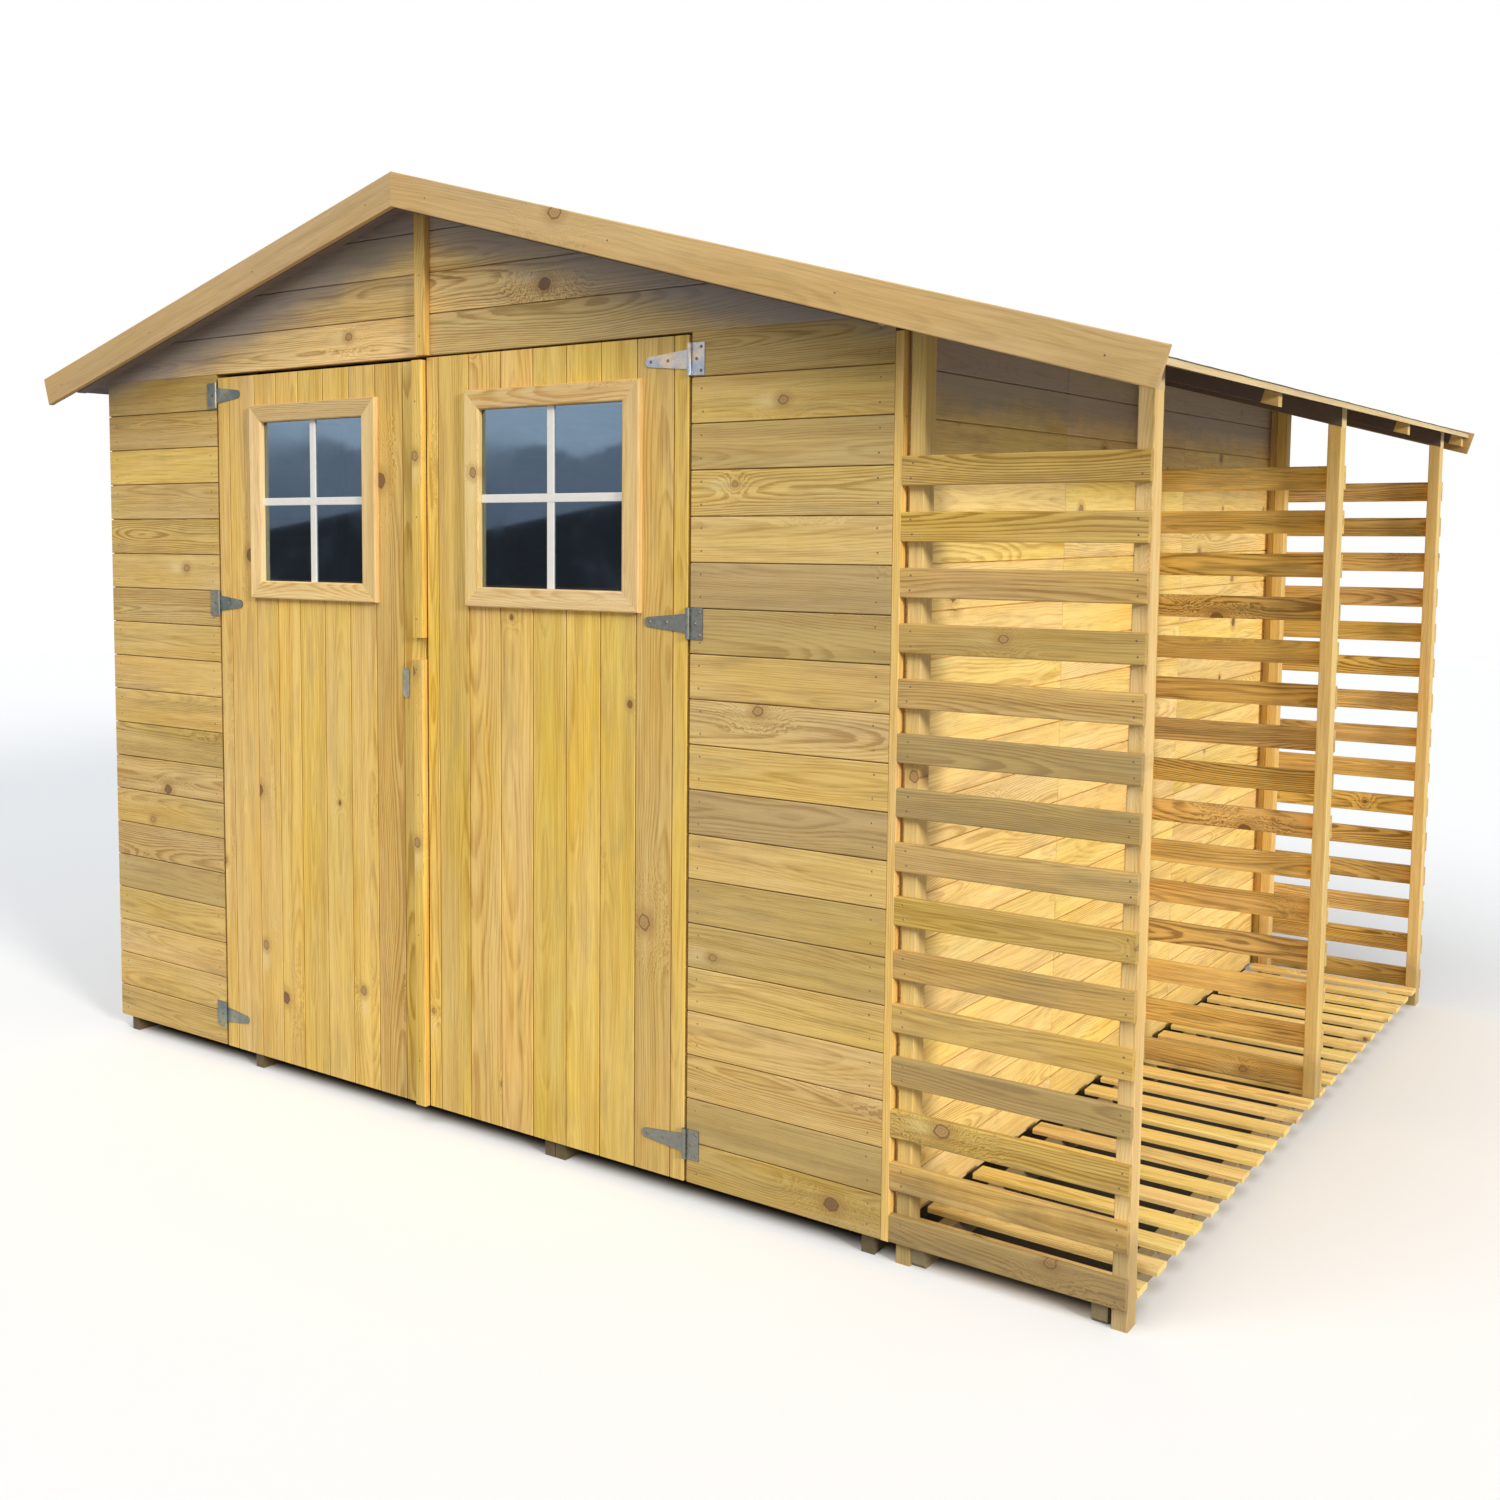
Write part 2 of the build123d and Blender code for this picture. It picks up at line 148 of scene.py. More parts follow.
def timber(bm, size, place, ease=1.5 * MM, steps=1, front_only=False, cuts=(), log=None):
    """Add a timber of length, width and thickness, turned and moved by a matrix."""
    along, pith_y, pith_z, tone = log or tree_place()
    bit = bmesh.new()
    bmesh.ops.create_cube(bit, size=1)
    bmesh.ops.scale(bit, vec=size, verts=bit.verts)
    long_edges = [e for e in bit.edges
                  if abs(e.verts[0].co.x - e.verts[1].co.x) > size[0] / 2
                  and (not front_only or e.verts[0].co.z > 0)]
    if ease:
        bmesh.ops.bevel(bit, geom=long_edges, offset=ease, segments=steps, profile=0.5,
                        affect="EDGES", material=-1)
    grain = bit.verts.layers.float_vector.new("grain")
    tones = bit.verts.layers.float.new("tone")
    for v in bit.verts:
        v[grain] = v.co + Vector((along, pith_y, pith_z))
        v[tones] = tone
    bmesh.ops.transform(bit, matrix=place, verts=bit.verts)
    for point, outward in cuts:
        cut = bmesh.ops.bisect_plane(bit, geom=bit.verts[:] + bit.edges[:] + bit.faces[:],
                                     dist=1e-6, plane_co=point, plane_no=outward,
                                     clear_outer=True)
        rim = [e for e in cut["geom_cut"] if isinstance(e, bmesh.types.BMEdge)]
        if rim:
            bmesh.ops.edgeloop_fill(bit, edges=rim)
    bmesh.ops.recalc_face_normals(bit, faces=bit.faces)
    bit.to_mesh(sawdust)
    bit.free()
    bm.from_mesh(sawdust)


# %% Timbers that stand square, and timbers along the roof
def square(bm, low, high, along, front, **shape):
    """Add a timber between two corners, its grain along one axis and its face to front."""
    low, high = Vector(low), Vector(high)
    length, face = unit(along), unit(*front)
    across = 3 - along - front[0]
    extent = high - low
    timber(bm, (extent[along], extent[across], extent[front[0]]),
           turned((low + high) / 2, length, face.cross(length), face), **shape)


def sloped(bm, side, start, end, y_low, y_high, drop, depth, front=(Y, -1), **shape):
    """Add a timber that lies along one roof slope, from start to end out from the ridge."""
    down, up = slope_axes(side)
    centre = Vector((x_ridge, 0, z_ridge)) + down * (start + end) / 2 + up * (-drop - depth / 2)
    centre.y = (y_low + y_high) / 2
    face = unit(*front)
    timber(bm, (end - start, depth, y_high - y_low), turned(centre, down, face.cross(down), face), **shape)


print("helpers ready")

# %% [markdown]
# Matchboard is the skin of the walls, doors and roof. Each board is eased along its
# face, stands a shadow gap from the next one, and a tongue closes that gap behind.
# The gap is real geometry, so it keeps its dark line in any light.

# %% A helper that lays matchboard
board_gap = 2.4 * MM
tongue_back = 7 * MM
board_ease = dict(ease=1.3 * MM, steps=2, front_only=True)


def joints(start, end, first, pitch):
    """Where the boards meet: the first joint, then one at each pitch."""
    lines = [start]
    line = start + first
    while line < end - board:
        lines.append(line)
        line += pitch
    return lines + [end]


def matchboard(bm, low, high, along, front, lines, cuts=(), darkest=0.0):
    """Boards between the joint lines, no tone under the darkest, a tongue behind each gap."""
    across = 3 - along - front[0]
    for k, (a, b) in enumerate(zip(lines, lines[1:])):
        start, end = Vector(low), Vector(high)
        start[across] = a + (board_gap / 2 if k else 0)
        end[across] = b - (board_gap / 2 if k < len(lines) - 2 else 0)
        *spot, tone = tree_place()
        log = (*spot, darkest + (1 - darkest) * tone)
        square(bm, start, end, along, front, cuts=cuts, log=log, **board_ease)
        if k:
            start[across], end[across] = a - board_gap / 2, a + board_gap / 2
            if front[1] < 0:
                start[front[0]] += tongue_back
            else:
                end[front[0]] -= tongue_back
            square(bm, start, end, along, front, ease=0, cuts=cuts, log=log)


# %% A helper that turns a bmesh into a piece riding on a body
def finish_piece(name, bm, material, body="building", stands_for=()):
    """Store the mesh at the origin, give it its material and tie it to its body."""
    mesh = bpy.data.meshes.new(name)
    bm.to_mesh(mesh)
    bm.free()
    mesh.materials.append(material)
    piece = bpy.data.objects.new(name, mesh)
    bpy.context.scene.collection.objects.link(piece)
    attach(piece, body)
    if stands_for:
        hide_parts(*stands_for)
    print(name, len(mesh.polygons), "faces")


# %% [markdown]
# The finishes are node materials. A small class keeps the wiring readable. It holds one
# node tree and has a short word for each node that the finishes often need: sums, mixed
# colours, smooth steps and noise. A value can be a number or another node's output.
# Effects that several finishes share go into node groups, built once, with named
# inputs and outputs.

# %% Helpers for wiring nodes
class Wiring:
    """One node tree, with a short word for each common node."""

    def __init__(self, tree):
        self.tree = tree

    def feed(self, socket, value):
        """Link a socket to another node's output, or set its value."""
        if isinstance(value, bpy.types.NodeSocket):
            self.tree.links.new(value, socket)
        else:
            socket.default_value = (*value, 1) if socket.type == "RGBA" else value

    def fill(self, made, inputs):
        """Feed a node's inputs by name or number."""
        for key, value in inputs.items():
            self.feed(made.inputs[key], value)

    def node(self, kind, inputs=None, **settings):
        """Add a node, set its options and feed its inputs."""
        made = self.tree.nodes.new("ShaderNode" + kind)
        for key, value in settings.items():
            setattr(made, key, value)
        self.fill(made, inputs or {})
        return made

    def calc(self, operation, *values, clamp=False):
        """One sum."""
        made = self.node("Math", dict(enumerate(values)), operation=operation, use_clamp=clamp)
        return made.outputs[0]

    def times(self, first, *others):
        """The product of two or more values."""
        for other in others:
            first = self.calc("MULTIPLY", first, other)
        return first

    def plus(self, first, second):
        return self.calc("ADD", first, second)

    def minus(self, first, second):
        return self.calc("SUBTRACT", first, second)

    def scaled(self, value, factor, start):
        """A start plus a factor times a value."""
        return self.calc("MULTIPLY_ADD", value, factor, start)

    def step(self, value, low, high, to_low=0.0, to_high=1.0):
        """A smooth step from one value to another."""
        made = self.node("MapRange", {0: value, 1: low, 2: high, 3: to_low, 4: to_high},
                         interpolation_type="SMOOTHSTEP")
        return made.outputs[0]

    def mix(self, factor, first, second, mode="MIX"):
        """Mix two colours."""
        made = self.node("Mix", {0: factor, 6: first, 7: second}, data_type="RGBA",
                         blend_type=mode, clamp_factor=True)
        return made.outputs[2]

    def vector(self, operation, first, second):
        """One sum of two vectors."""
        return self.node("VectorMath", {0: first, 1: second}, operation=operation).outputs[0]

    def split(self, vector):
        """The three parts of a vector."""
        return self.node("SeparateXYZ", {0: vector}).outputs

    def channels(self, colour):
        """The three channels of a colour."""
        return self.node("SeparateColor", {0: colour}).outputs

    def noise(self, vector, scale, detail=2.0, roughness=0.5, output=0):
        """Soft noise, as a number or as a colour. Three scales stretch it along the axes."""
        if isinstance(scale, tuple):
            vector, scale = self.vector("MULTIPLY", vector, scale), 1.0
        made = self.node("TexNoise", {"Vector": vector, "Scale": scale, "Detail": detail,
                                      "Roughness": roughness})
        return made.outputs[output]

    def object_place(self):
        """Object coordinates: the building's own metres, since every piece is at the origin."""
        return self.node("TexCoord").outputs["Object"]

    def group(self, name, inputs):
        """A shared node group, placed with its own values."""
        return self.node("Group", inputs, node_tree=bpy.data.node_groups[name]).outputs

    def bump(self, height, strength, distance):
        """A normal pushed about by a height."""
        made = self.node("Bump", {"Height": height, "Strength": strength, "Distance": distance})
        return made.outputs[0]


# %% New node groups and materials
def new_group(name, inputs, outputs):
    """A node group with named sockets: its wiring, what it is given and what it gives."""
    tree = bpy.data.node_groups.new(name, "ShaderNodeTree")
    kinds = {"v": "NodeSocketVector", "c": "NodeSocketColor", "f": "NodeSocketFloat"}
    for label, kind, *value in inputs:
        socket = tree.interface.new_socket(label, in_out="INPUT", socket_type=kinds[kind])
        if value:
            socket.default_value = value[0]
    for label, kind in outputs:
        tree.interface.new_socket(label, in_out="OUTPUT", socket_type=kinds[kind])
    given = tree.nodes.new("NodeGroupInput").outputs
    print("group", name)
    return Wiring(tree), given, tree.nodes.new("NodeGroupOutput")


def new_material(name):
    """A material, its wiring and its shader."""
    material = bpy.data.materials.new(name)
    material.use_nodes = True
    return material, Wiring(material.node_tree), material.node_tree.nodes["Principled BSDF"]


# %% [markdown]
# Softwood is a stack of cones: pale spring wood and thin brown summer wood round a
# pith. The group measures the distance from the pith, lets it wander along the log, and
# turns it into rings. On a flat sawn face they open into long cathedral arches. Knots
# come from scattered cells, and push the rings aside as a branch does. Fine fibres,
# broad streaks and grey stains finish it.

# %% The softwood group: its log and its knots
w, given, result = new_group(
    "Softwood",
    [("Grain", "v"), ("Tone", "f", 0.5), ("Pale", "c"), ("Brown", "c"), ("Ring Width", "f", 0.004),
     ("Ring Depth", "f", 0.5), ("Knots", "f", 0.4), ("Stain", "f", 0.3)],
    [("Color", "c"), ("Roughness", "f"), ("Height", "f")])
grain, tone = given["Grain"], given["Tone"]
_, across, deep = w.split(grain)
bend = w.channels(w.noise(grain, (1.3, 2.5, 2.5), 2.0, 0.45, output=1))
pith_y = w.scaled(w.minus(bend[0], 0.5), 0.07, across)
pith_z = w.scaled(w.minus(bend[1], 0.5), 0.06, deep)
chance = w.node("TexWhiteNoise", {"W": tone}, noise_dimensions="1D").outputs
odd, plain = chance["Value"], w.channels(chance["Color"])[1]

knot_spacing, knot_row, knot_stretch = 0.42, 0.085, 0.8
cell = w.vector("DIVIDE", grain, (knot_spacing, knot_row, 1.0))
cells = w.node("TexVoronoi", {"Vector": cell, "Scale": 1.0, "Randomness": 0.8},
               voronoi_dimensions="2D", feature="F1").outputs
away = w.vector("SUBTRACT", cell, cells["Position"])
away = w.vector("MULTIPLY", away, (knot_spacing * knot_stretch, knot_row, 0.0))
distance = w.node("VectorMath", {0: away}, operation="LENGTH").outputs["Value"]
dice = w.channels(cells["Color"])
has_knot = w.calc("LESS_THAN", dice[0], given["Knots"])
smallest, growth = 0.0045, 0.0105
knot_radius = w.scaled(w.calc("POWER", dice[1], 1.4), growth, smallest)
uneven = w.scaled(w.noise(away, 90.0), 0.7, 0.65)
ratio = w.times(w.calc("DIVIDE", distance, knot_radius), uneven)
core = w.times(w.step(ratio, 0.8, 1.15, 1.0, 0.0), has_knot)
halo = w.times(w.step(ratio, 1.0, 3.2, 1.0, 0.0), has_knot)
bark = w.times(w.step(ratio, 0.82, 1.0), w.step(ratio, 1.02, 1.25, 1.0, 0.0), has_knot)
swell = w.calc("EXPONENT", w.times(w.calc("POWER", ratio, 1.5), -0.15))
swell = w.times(swell, has_knot, w.times(knot_radius, 3.0))
beside, above, _ = w.split(away)
beside = w.calc("DIVIDE", w.plus(beside, 0.032), 0.026)
above = w.calc("DIVIDE", above, 0.014)
sheen = w.calc("EXPONENT", w.times(w.plus(w.times(beside, beside), w.times(above, above)), -1.0))
sheen = w.times(sheen, has_knot, w.step(dice[2], 0.3, 1.0))

# %% The softwood group: its rings
ragged = w.noise(grain, (5.0, 60.0, 60.0), 3.0, 0.6)
fibre = w.noise(grain, (9.0, 430.0, 430.0), 3.0, 0.65)
streak = w.noise(grain, (1.1, 36.0, 36.0), 4.0, 0.78)
ragged_by, fibre_by = 0.0018, 0.0016
radius = w.calc("SQRT", w.plus(w.calc("POWER", pith_y, 2.0), w.calc("POWER", pith_z, 2.0)))
radius = w.plus(w.plus(radius, swell), w.scaled(fibre, fibre_by, w.times(ragged, ragged_by)))
patchy = w.noise(w.node("CombineXYZ", {0: w.times(radius, 45.0), 1: tone}).outputs[0], 1.0)
years = w.plus(w.calc("DIVIDE", radius, given["Ring Width"]), w.times(patchy, 2.2))
within = w.calc("FRACT", years)
summer = w.times(w.step(within, 0.3, 0.86), w.step(within, 0.88, 1.0, 1.0, 0.0))
strength = w.scaled(w.times(plain, plain), 1.15, 0.35)
depth = w.times(w.times(summer, given["Ring Depth"]),
                w.times(strength, w.step(streak, 0.25, 0.75, 0.5, 1.3)))
depth = w.plus(depth, w.scaled(w.minus(fibre, 0.5), 1.4, 0.2))
depth = w.calc("ADD", depth, w.times(w.minus(streak, 0.5), 1.75), clamp=True)

# %% The softwood group: its colours
silver, stain_brown = (0.48, 0.36, 0.18), (0.30, 0.215, 0.095)
sheen_gold, halo_brown, bark_black = (0.92, 0.74, 0.38), (0.40, 0.21, 0.06), (0.11, 0.055, 0.02)
drift = w.channels(w.noise(grain, (1.7, 9.0, 9.0), 3.0, 0.55, output=1))
wood = w.node("HueSaturation", {
    "Hue": w.scaled(drift[1], 0.018, w.scaled(odd, 0.011, 0.4855)),
    "Saturation": w.scaled(drift[2], 0.34, w.scaled(odd, 0.09, 0.795)),
    "Value": w.scaled(drift[0], 0.34, w.scaled(tone, 0.3, 0.68)),
    "Color": w.mix(depth, given["Pale"], given["Brown"])}).outputs[0]
wood = w.mix(w.step(tone, 0.0, 0.14, 0.36, 0.0), wood, silver)
patch = w.noise(grain, (3.4, 22.0, 22.0), 5.0, 0.62)
stained = w.times(w.step(patch, 0.5, 0.72), given["Stain"])
wood = w.mix(stained, wood, w.mix(0.75, wood, stain_brown))
wood = w.mix(w.times(sheen, 0.45), wood, sheen_gold)
wood = w.mix(w.times(halo, 0.5), wood, halo_brown)
heart = w.calc("FRACT", w.times(ratio, 2.6))
dark_knot = w.mix(heart, (0.17, 0.085, 0.035), (0.30, 0.16, 0.065))
warm_knot = w.mix(heart, (0.36, 0.20, 0.075), (0.54, 0.34, 0.13))
wood = w.mix(core, wood, w.mix(w.calc("GREATER_THAN", dice[2], 0.45), dark_knot, warm_knot))
wood = w.mix(w.times(bark, 0.7), wood, bark_black)
relief = w.plus(w.times(summer, 0.35), w.times(fibre, 0.65))
w.fill(result, {"Color": wood,
                "Roughness": w.minus(w.scaled(fibre, 0.22, 0.55), w.times(core, 0.15)),
                "Height": w.minus(relief, w.times(bark, 0.5))})

# %% [markdown]
# Standing outdoors adds its own marks: faint runs of dirt down the faces, and damp
# splashed up from the ground on the lowest boards. The group also paints shade: a grey
# darkening close under the roof that stands in for the shadow of the eaves. They follow
# the building and not the board, so this group reads Object coordinates. The depth input
# says how far down the painted shade reaches.

# %% The outdoor marks and painted eave shade group
w, given, result = new_group(
    "Outdoor Marks And Eave Shade", [("Color", "c"), ("Runs", "f", 0.15), ("Splash", "f", 0.4),
                      ("Eave Shade Depth", "f", 0.0)], [("Color", "c")])
spot = w.object_place()
run_brown, splash_brown, eave_shade_grey = (0.17, 0.12, 0.06), (0.13, 0.1, 0.05), (0.36, 0.335, 0.36)
runs = w.times(w.step(w.noise(spot, (26.0, 26.0, 1.6), 4.0, 0.6), 0.5, 0.78), given["Runs"])
marked_and_shaded = w.mix(runs, given["Color"], run_brown)
ragged = w.noise(spot, 9.0, 4.0, 0.65)
place_x, _, place_z = w.split(spot)
over_splash = w.minus(place_z, w.scaled(ragged, 0.22, -0.02))
splash = w.times(w.step(over_splash, 0.02, 0.12, 1.0, 0.0), given["Splash"])
marked_and_shaded = w.mix(splash, marked_and_shaded, splash_brown)
# Painted shade: grey close under the roof, fading out lower down the wall.
from_ridge = w.calc("ABSOLUTE", w.minus(place_x, x_ridge))
under_roof = w.minus(w.minus(z_ridge, place_z), w.times(from_ridge, math.tan(slope)))
eave_shade = w.scaled(ragged, 0.08, w.minus(given["Eave Shade Depth"], under_roof))
marked_and_shaded = w.mix(w.step(eave_shade, 0.0, 0.1), marked_and_shaded, w.mix(0.72, marked_and_shaded, eave_shade_grey))
w.fill(result, {"Color": marked_and_shaded})

# %% [markdown]
# The underside of the roof is painted dark as shade: every face that does not look
# along X takes a dark purple grey. Only the ends and edges that look outward keep their
# pale sawn wood, so this group tells them apart by their normal.

# %% The painted soffit shade group
w, given, result = new_group("Painted Soffit Shade", [("Color", "c"), ("Shade Strength", "f", 0.9)], [("Color", "c")])
outward = w.calc("ABSOLUTE", w.split(w.node("NewGeometry").outputs["Normal"])[0])
# Painted shade: faces that do not look along X darken to a purple grey.
soffit_shade_mask = w.times(w.step(outward, 0.6, 0.9, 1.0, 0.0), given["Shade Strength"])
w.fill(result, {"Color": w.mix(soffit_shade_mask, given["Color"], (0.085, 0.068, 0.085))})

# %% [markdown]
# Every timber finish is then one short material: grain in, colour, roughness and a
# small bump out. The walls, doors, window mouldings, bargeboards and store differ in
# their two colours, in how strong the rings, knots and stains are, and in how much
# painted shade they take under the roof; some are paler copies that paint light. Solids
# that keep their own mesh have no grain of their own, so they read Object coordinates.

# %% Timber materials
def timber_material(name, pale, brown, ring=0.004, ring_depth=0.5, knots=0.4, stain=0.3,
                    runs=0.0, splash=0.0, eave_shade=-1.0, soffit_shade=0.0, grain_turn=None):
    """A softwood finish. grain_turn turns Object coordinates so that X runs along the grain."""
    material, w, shader = new_material(name)
    if grain_turn is None:
        grain = w.node("Attribute", attribute_name="grain").outputs["Vector"]
        tone = w.node("Attribute", attribute_name="tone").outputs["Fac"]
    else:
        grain = w.node("Mapping", {"Vector": w.object_place(), "Location": (3.1, 0.02, 0.05),
                                   "Rotation": grain_turn}).outputs[0]
        tone = 0.5
    wood = w.group("Softwood", {"Grain": grain, "Tone": tone, "Pale": pale, "Brown": brown,
                                "Ring Width": ring, "Ring Depth": ring_depth, "Knots": knots,
                                "Stain": stain})
    colour = w.group("Outdoor Marks And Eave Shade", {"Color": wood["Color"], "Runs": runs, "Splash": splash,
                                       "Eave Shade Depth": eave_shade})["Color"]
    # Painted shade on every face that does not look along X.
    if soffit_shade:
        colour = w.group("Painted Soffit Shade", {"Color": colour, "Shade Strength": soffit_shade})["Color"]
    w.fill(shader, {"Base Color": colour, "Roughness": wood["Roughness"],
                    "Normal": w.bump(wood["Height"], 0.45, 0.0006), "Specular IOR Level": 0.3})
    return material


# Each wood's depth for the eave shade sets how far below the roof its painted shade reaches.
under_eaves = roof_under(x_right) - z_head
wall_wood = timber_material("wall_boards", (0.72, 0.505, 0.185), (0.41, 0.24, 0.062), ring=0.0032,
                            ring_depth=0.7, knots=0.24, stain=0.5, runs=0.06, splash=0.18,
                            eave_shade=60 * MM)
# A much paler copy of the wall wood for the gables: partly their own warmer colour, partly painted light
# against the shade under the roof.
gable_wood = timber_material("gable_boards", (0.99, 0.70, 0.30), (0.46, 0.26, 0.078), ring=0.0034,
                             ring_depth=0.8, knots=0.25, stain=0.5, eave_shade=120 * MM)
# A brighter copy of the wall wood for the store side: painted light where the low sun falls, with painted
# eave shade at its top.
sunlit_wall_wood = timber_material("sunlit_side_boards", (1.0, 0.74, 0.275), (0.66, 0.42, 0.125), ring=0.0034,
                             ring_depth=0.65, knots=0.25, stain=0.4, runs=0.04, splash=0.2,
                             eave_shade=under_eaves + 170 * MM)
door_wood = timber_material("door_boards", (0.83, 0.57, 0.175), (0.53, 0.30, 0.068), ring=0.0042,
                            ring_depth=0.65, knots=0.2, stain=0.4, runs=0.05, splash=0.06)
moulding_wood = timber_material("window_moulding", (0.84, 0.62, 0.285), (0.60, 0.35, 0.11), ring=0.003,
                                ring_depth=0.6, stain=0.15)
barge_wood = timber_material("bargeboard", (0.60, 0.405, 0.185), (0.41, 0.26, 0.105), ring_depth=0.3,
                             knots=0.1, stain=0.35)
store_wood = timber_material("store_slats", (0.66, 0.44, 0.143), (0.34, 0.19, 0.048), ring=0.0031,
                             ring_depth=0.85, knots=0.3, stain=0.65, runs=0.05, splash=0.45)
brown_wood = timber_material("shaded_slats", (0.88, 0.60, 0.21), (0.34, 0.19, 0.054), ring=0.0034,
                             ring_depth=0.95, knots=0.3, stain=0.7, splash=0.2)
# A paler wood, with bright tones for the posts, for the store posts and rafter tips: painted light on
# posts in shade and on the lit tips.
post_wood = timber_material("store_posts", (0.79, 0.575, 0.235), (0.55, 0.345, 0.11), ring=0.003,
                            knots=0.2, stain=0.2, runs=0.03, splash=0.4)
floor_wood = timber_material("floor_slats", (0.98, 0.76, 0.31), (0.72, 0.47, 0.145), ring=0.0034,
                             ring_depth=0.7, knots=0.25, stain=0.5)
# A paler wood for the back corner trim: painted light against the shade the post casts on it.
pale_wood = timber_material("pale_trim", (1.0, 0.86, 0.46), (0.86, 0.64, 0.28), ring_depth=0.4,
                            knots=0.0, stain=0.0, splash=0.2)
inner_wood = timber_material("inside_framing", (0.60, 0.42, 0.18), (0.38, 0.22, 0.075), knots=0.2)
# The roof wood takes strong painted soffit shade.
roof_wood = timber_material("roof_boards", (0.84, 0.66, 0.36), (0.62, 0.43, 0.18), knots=0.1, soffit_shade=0.93)
grain_along_y = (0, 0, math.pi / 2)
bearer_wood = timber_material("damp_bearers", (0.20, 0.15, 0.09), (0.1, 0.07, 0.045), ring_depth=0.8,
                              stain=0.8, runs=0.4, splash=0.5, grain_turn=grain_along_y)
store_bearer_wood = timber_material("store_bearer_wood", (0.42, 0.33, 0.2), (0.26, 0.19, 0.11),
                                    stain=0.7, runs=0.15, splash=0.4, grain_turn=grain_along_y)
ridge_wood = timber_material("ridge_wood", (0.52, 0.36, 0.17), (0.34, 0.2, 0.08), runs=0.15,
                             grain_turn=grain_along_y)
brace_wood = timber_material("door_ledges", (0.62, 0.43, 0.19), (0.40, 0.24, 0.09), knots=0.3,
                             runs=0.15, grain_turn=(0, 0, 0))
print(len(bpy.data.materials), "materials")

# %% [markdown]
# The metal is zinc over steel, passivated: a smooth grey skin with faint crystals, whose
# colour drifts from blue to straw yellow. A group makes that skin, because the hinges,
# the nails and the latch plate all share it.

# %% Galvanised steel, screws and nails
w, given, result = new_group("Zinc Skin", [("Scale", "f", 220.0), ("Dullness", "f", 0.3)],
                             [("Shade", "f"), ("Straw", "f"), ("Roughness", "f"), ("Height", "f")])
spot = w.object_place()
crystals = w.node("TexVoronoi", {"Vector": spot, "Scale": given["Scale"]}).outputs["Color"]
shine = w.channels(crystals)[0]
dull = w.noise(spot, 38.0, 4.0, 0.6)
w.fill(result, {"Shade": w.minus(w.scaled(shine, 0.14, 0.95), w.times(dull, given["Dullness"])),
                "Straw": w.step(w.noise(spot, 16.0), 0.38, 0.66),
                "Roughness": w.plus(w.times(shine, 0.08), w.scaled(dull, 0.3, 0.18)),
                "Height": shine})


def metal_material(name, cold, warm, dullness, metallic, scale=160.0, low_tint=None, tint_height=0.0):
    """A zinc finish that drifts between two colours, with a darker tint below a given height."""
    material, w, shader = new_material(name)
    skin = w.group("Zinc Skin", {"Scale": scale, "Dullness": dullness})
    tint = w.mix(skin["Straw"], cold, warm)
    if low_tint:
        height = w.split(w.object_place())[2]
        tint = w.mix(w.step(height, tint_height - 0.1, tint_height), low_tint, tint)
    w.fill(shader, {"Base Color": w.mix(1.0, tint, skin["Shade"], mode="MULTIPLY"),
                    "Roughness": skin["Roughness"], "Metallic": metallic,
                    "Normal": w.bump(skin["Height"], 0.06, 0.0003)})
    return material


zinc = metal_material("galvanised_steel", (0.50, 0.56, 0.66), (0.80, 0.66, 0.50), 0.25, 0.9,
                      low_tint=(0.25, 0.26, 0.24), tint_height=1.6)
plate_zinc = metal_material("latch_plate_zinc", (0.36, 0.36, 0.30), (0.52, 0.47, 0.33), 0.3, 0.6)
dull_zinc = metal_material("weathered_zinc", (0.17, 0.21, 0.21), (0.34, 0.33, 0.27), 0.12, 0.8)
nail_steel = metal_material("weathered_nails", (0.20, 0.15, 0.10), (0.26, 0.18, 0.11), 0.3, 0.3, 600.0)

# %% [markdown]
# The panes are thin clear sheets in front of a dark room, so they show what is behind
# them and a little of the sky. A plain transmission shader does this, with faint
# smears in its roughness. The glazing bars are white strips, and the roof is covered
# with mineral felt: grey-green chips, lighter where rain has washed them.

# %% Glass, glazing bars and felt
glass, w, shader = new_material("window_glass")
smears = w.noise(w.object_place(), 5.0, 4.0, 0.6)
w.fill(shader, {"Base Color": w.mix(smears, (0.42, 0.48, 0.52), (0.5, 0.56, 0.6)),
                "Roughness": w.step(smears, 0.4, 0.8, 0.02, 0.09), "IOR": 3.3,
                "Transmission Weight": 1.0, "Specular Tint": (0.52, 0.74, 1.0)})

white_bar, w, shader = new_material("white_glazing_bar")
dust = w.noise(w.object_place(), 60.0, 3.0, 0.6)
w.fill(shader, {"Base Color": w.mix(dust, (0.86, 0.84, 0.80), (0.74, 0.71, 0.66)),
                "Roughness": w.step(dust, 0.3, 0.8, 0.35, 0.55)})

felt, w, shader = new_material("mineral_felt")
spot = w.object_place()
chips = w.node("TexVoronoi", {"Vector": spot, "Scale": 420.0}).outputs
chip = w.channels(chips["Color"])[0]
washed = w.noise(spot, 3.2, 5.0, 0.6)
colour = w.mix(chip, (0.055, 0.065, 0.058), (0.19, 0.205, 0.185))
w.fill(shader, {"Base Color": w.mix(w.step(washed, 0.45, 0.75, 0.0, 0.35), colour, (0.24, 0.245, 0.22)),
                "Roughness": w.scaled(chip, 0.12, 0.82), "Normal": w.bump(chips["Distance"], 0.5, 0.0012)})
print(len(bpy.data.materials), "materials in all")

# %% [markdown]
# The front and back walls are panels of level matchboard nailed to a frame. All panels
# share one setting out, ninety millimetres for the lowest board and then a pitch of
# about ninety five, so the joints run on from panel to panel as they do on real walls.

# %% Front and back panels
pitch = 94.9 * MM
lowest = 90 * MM


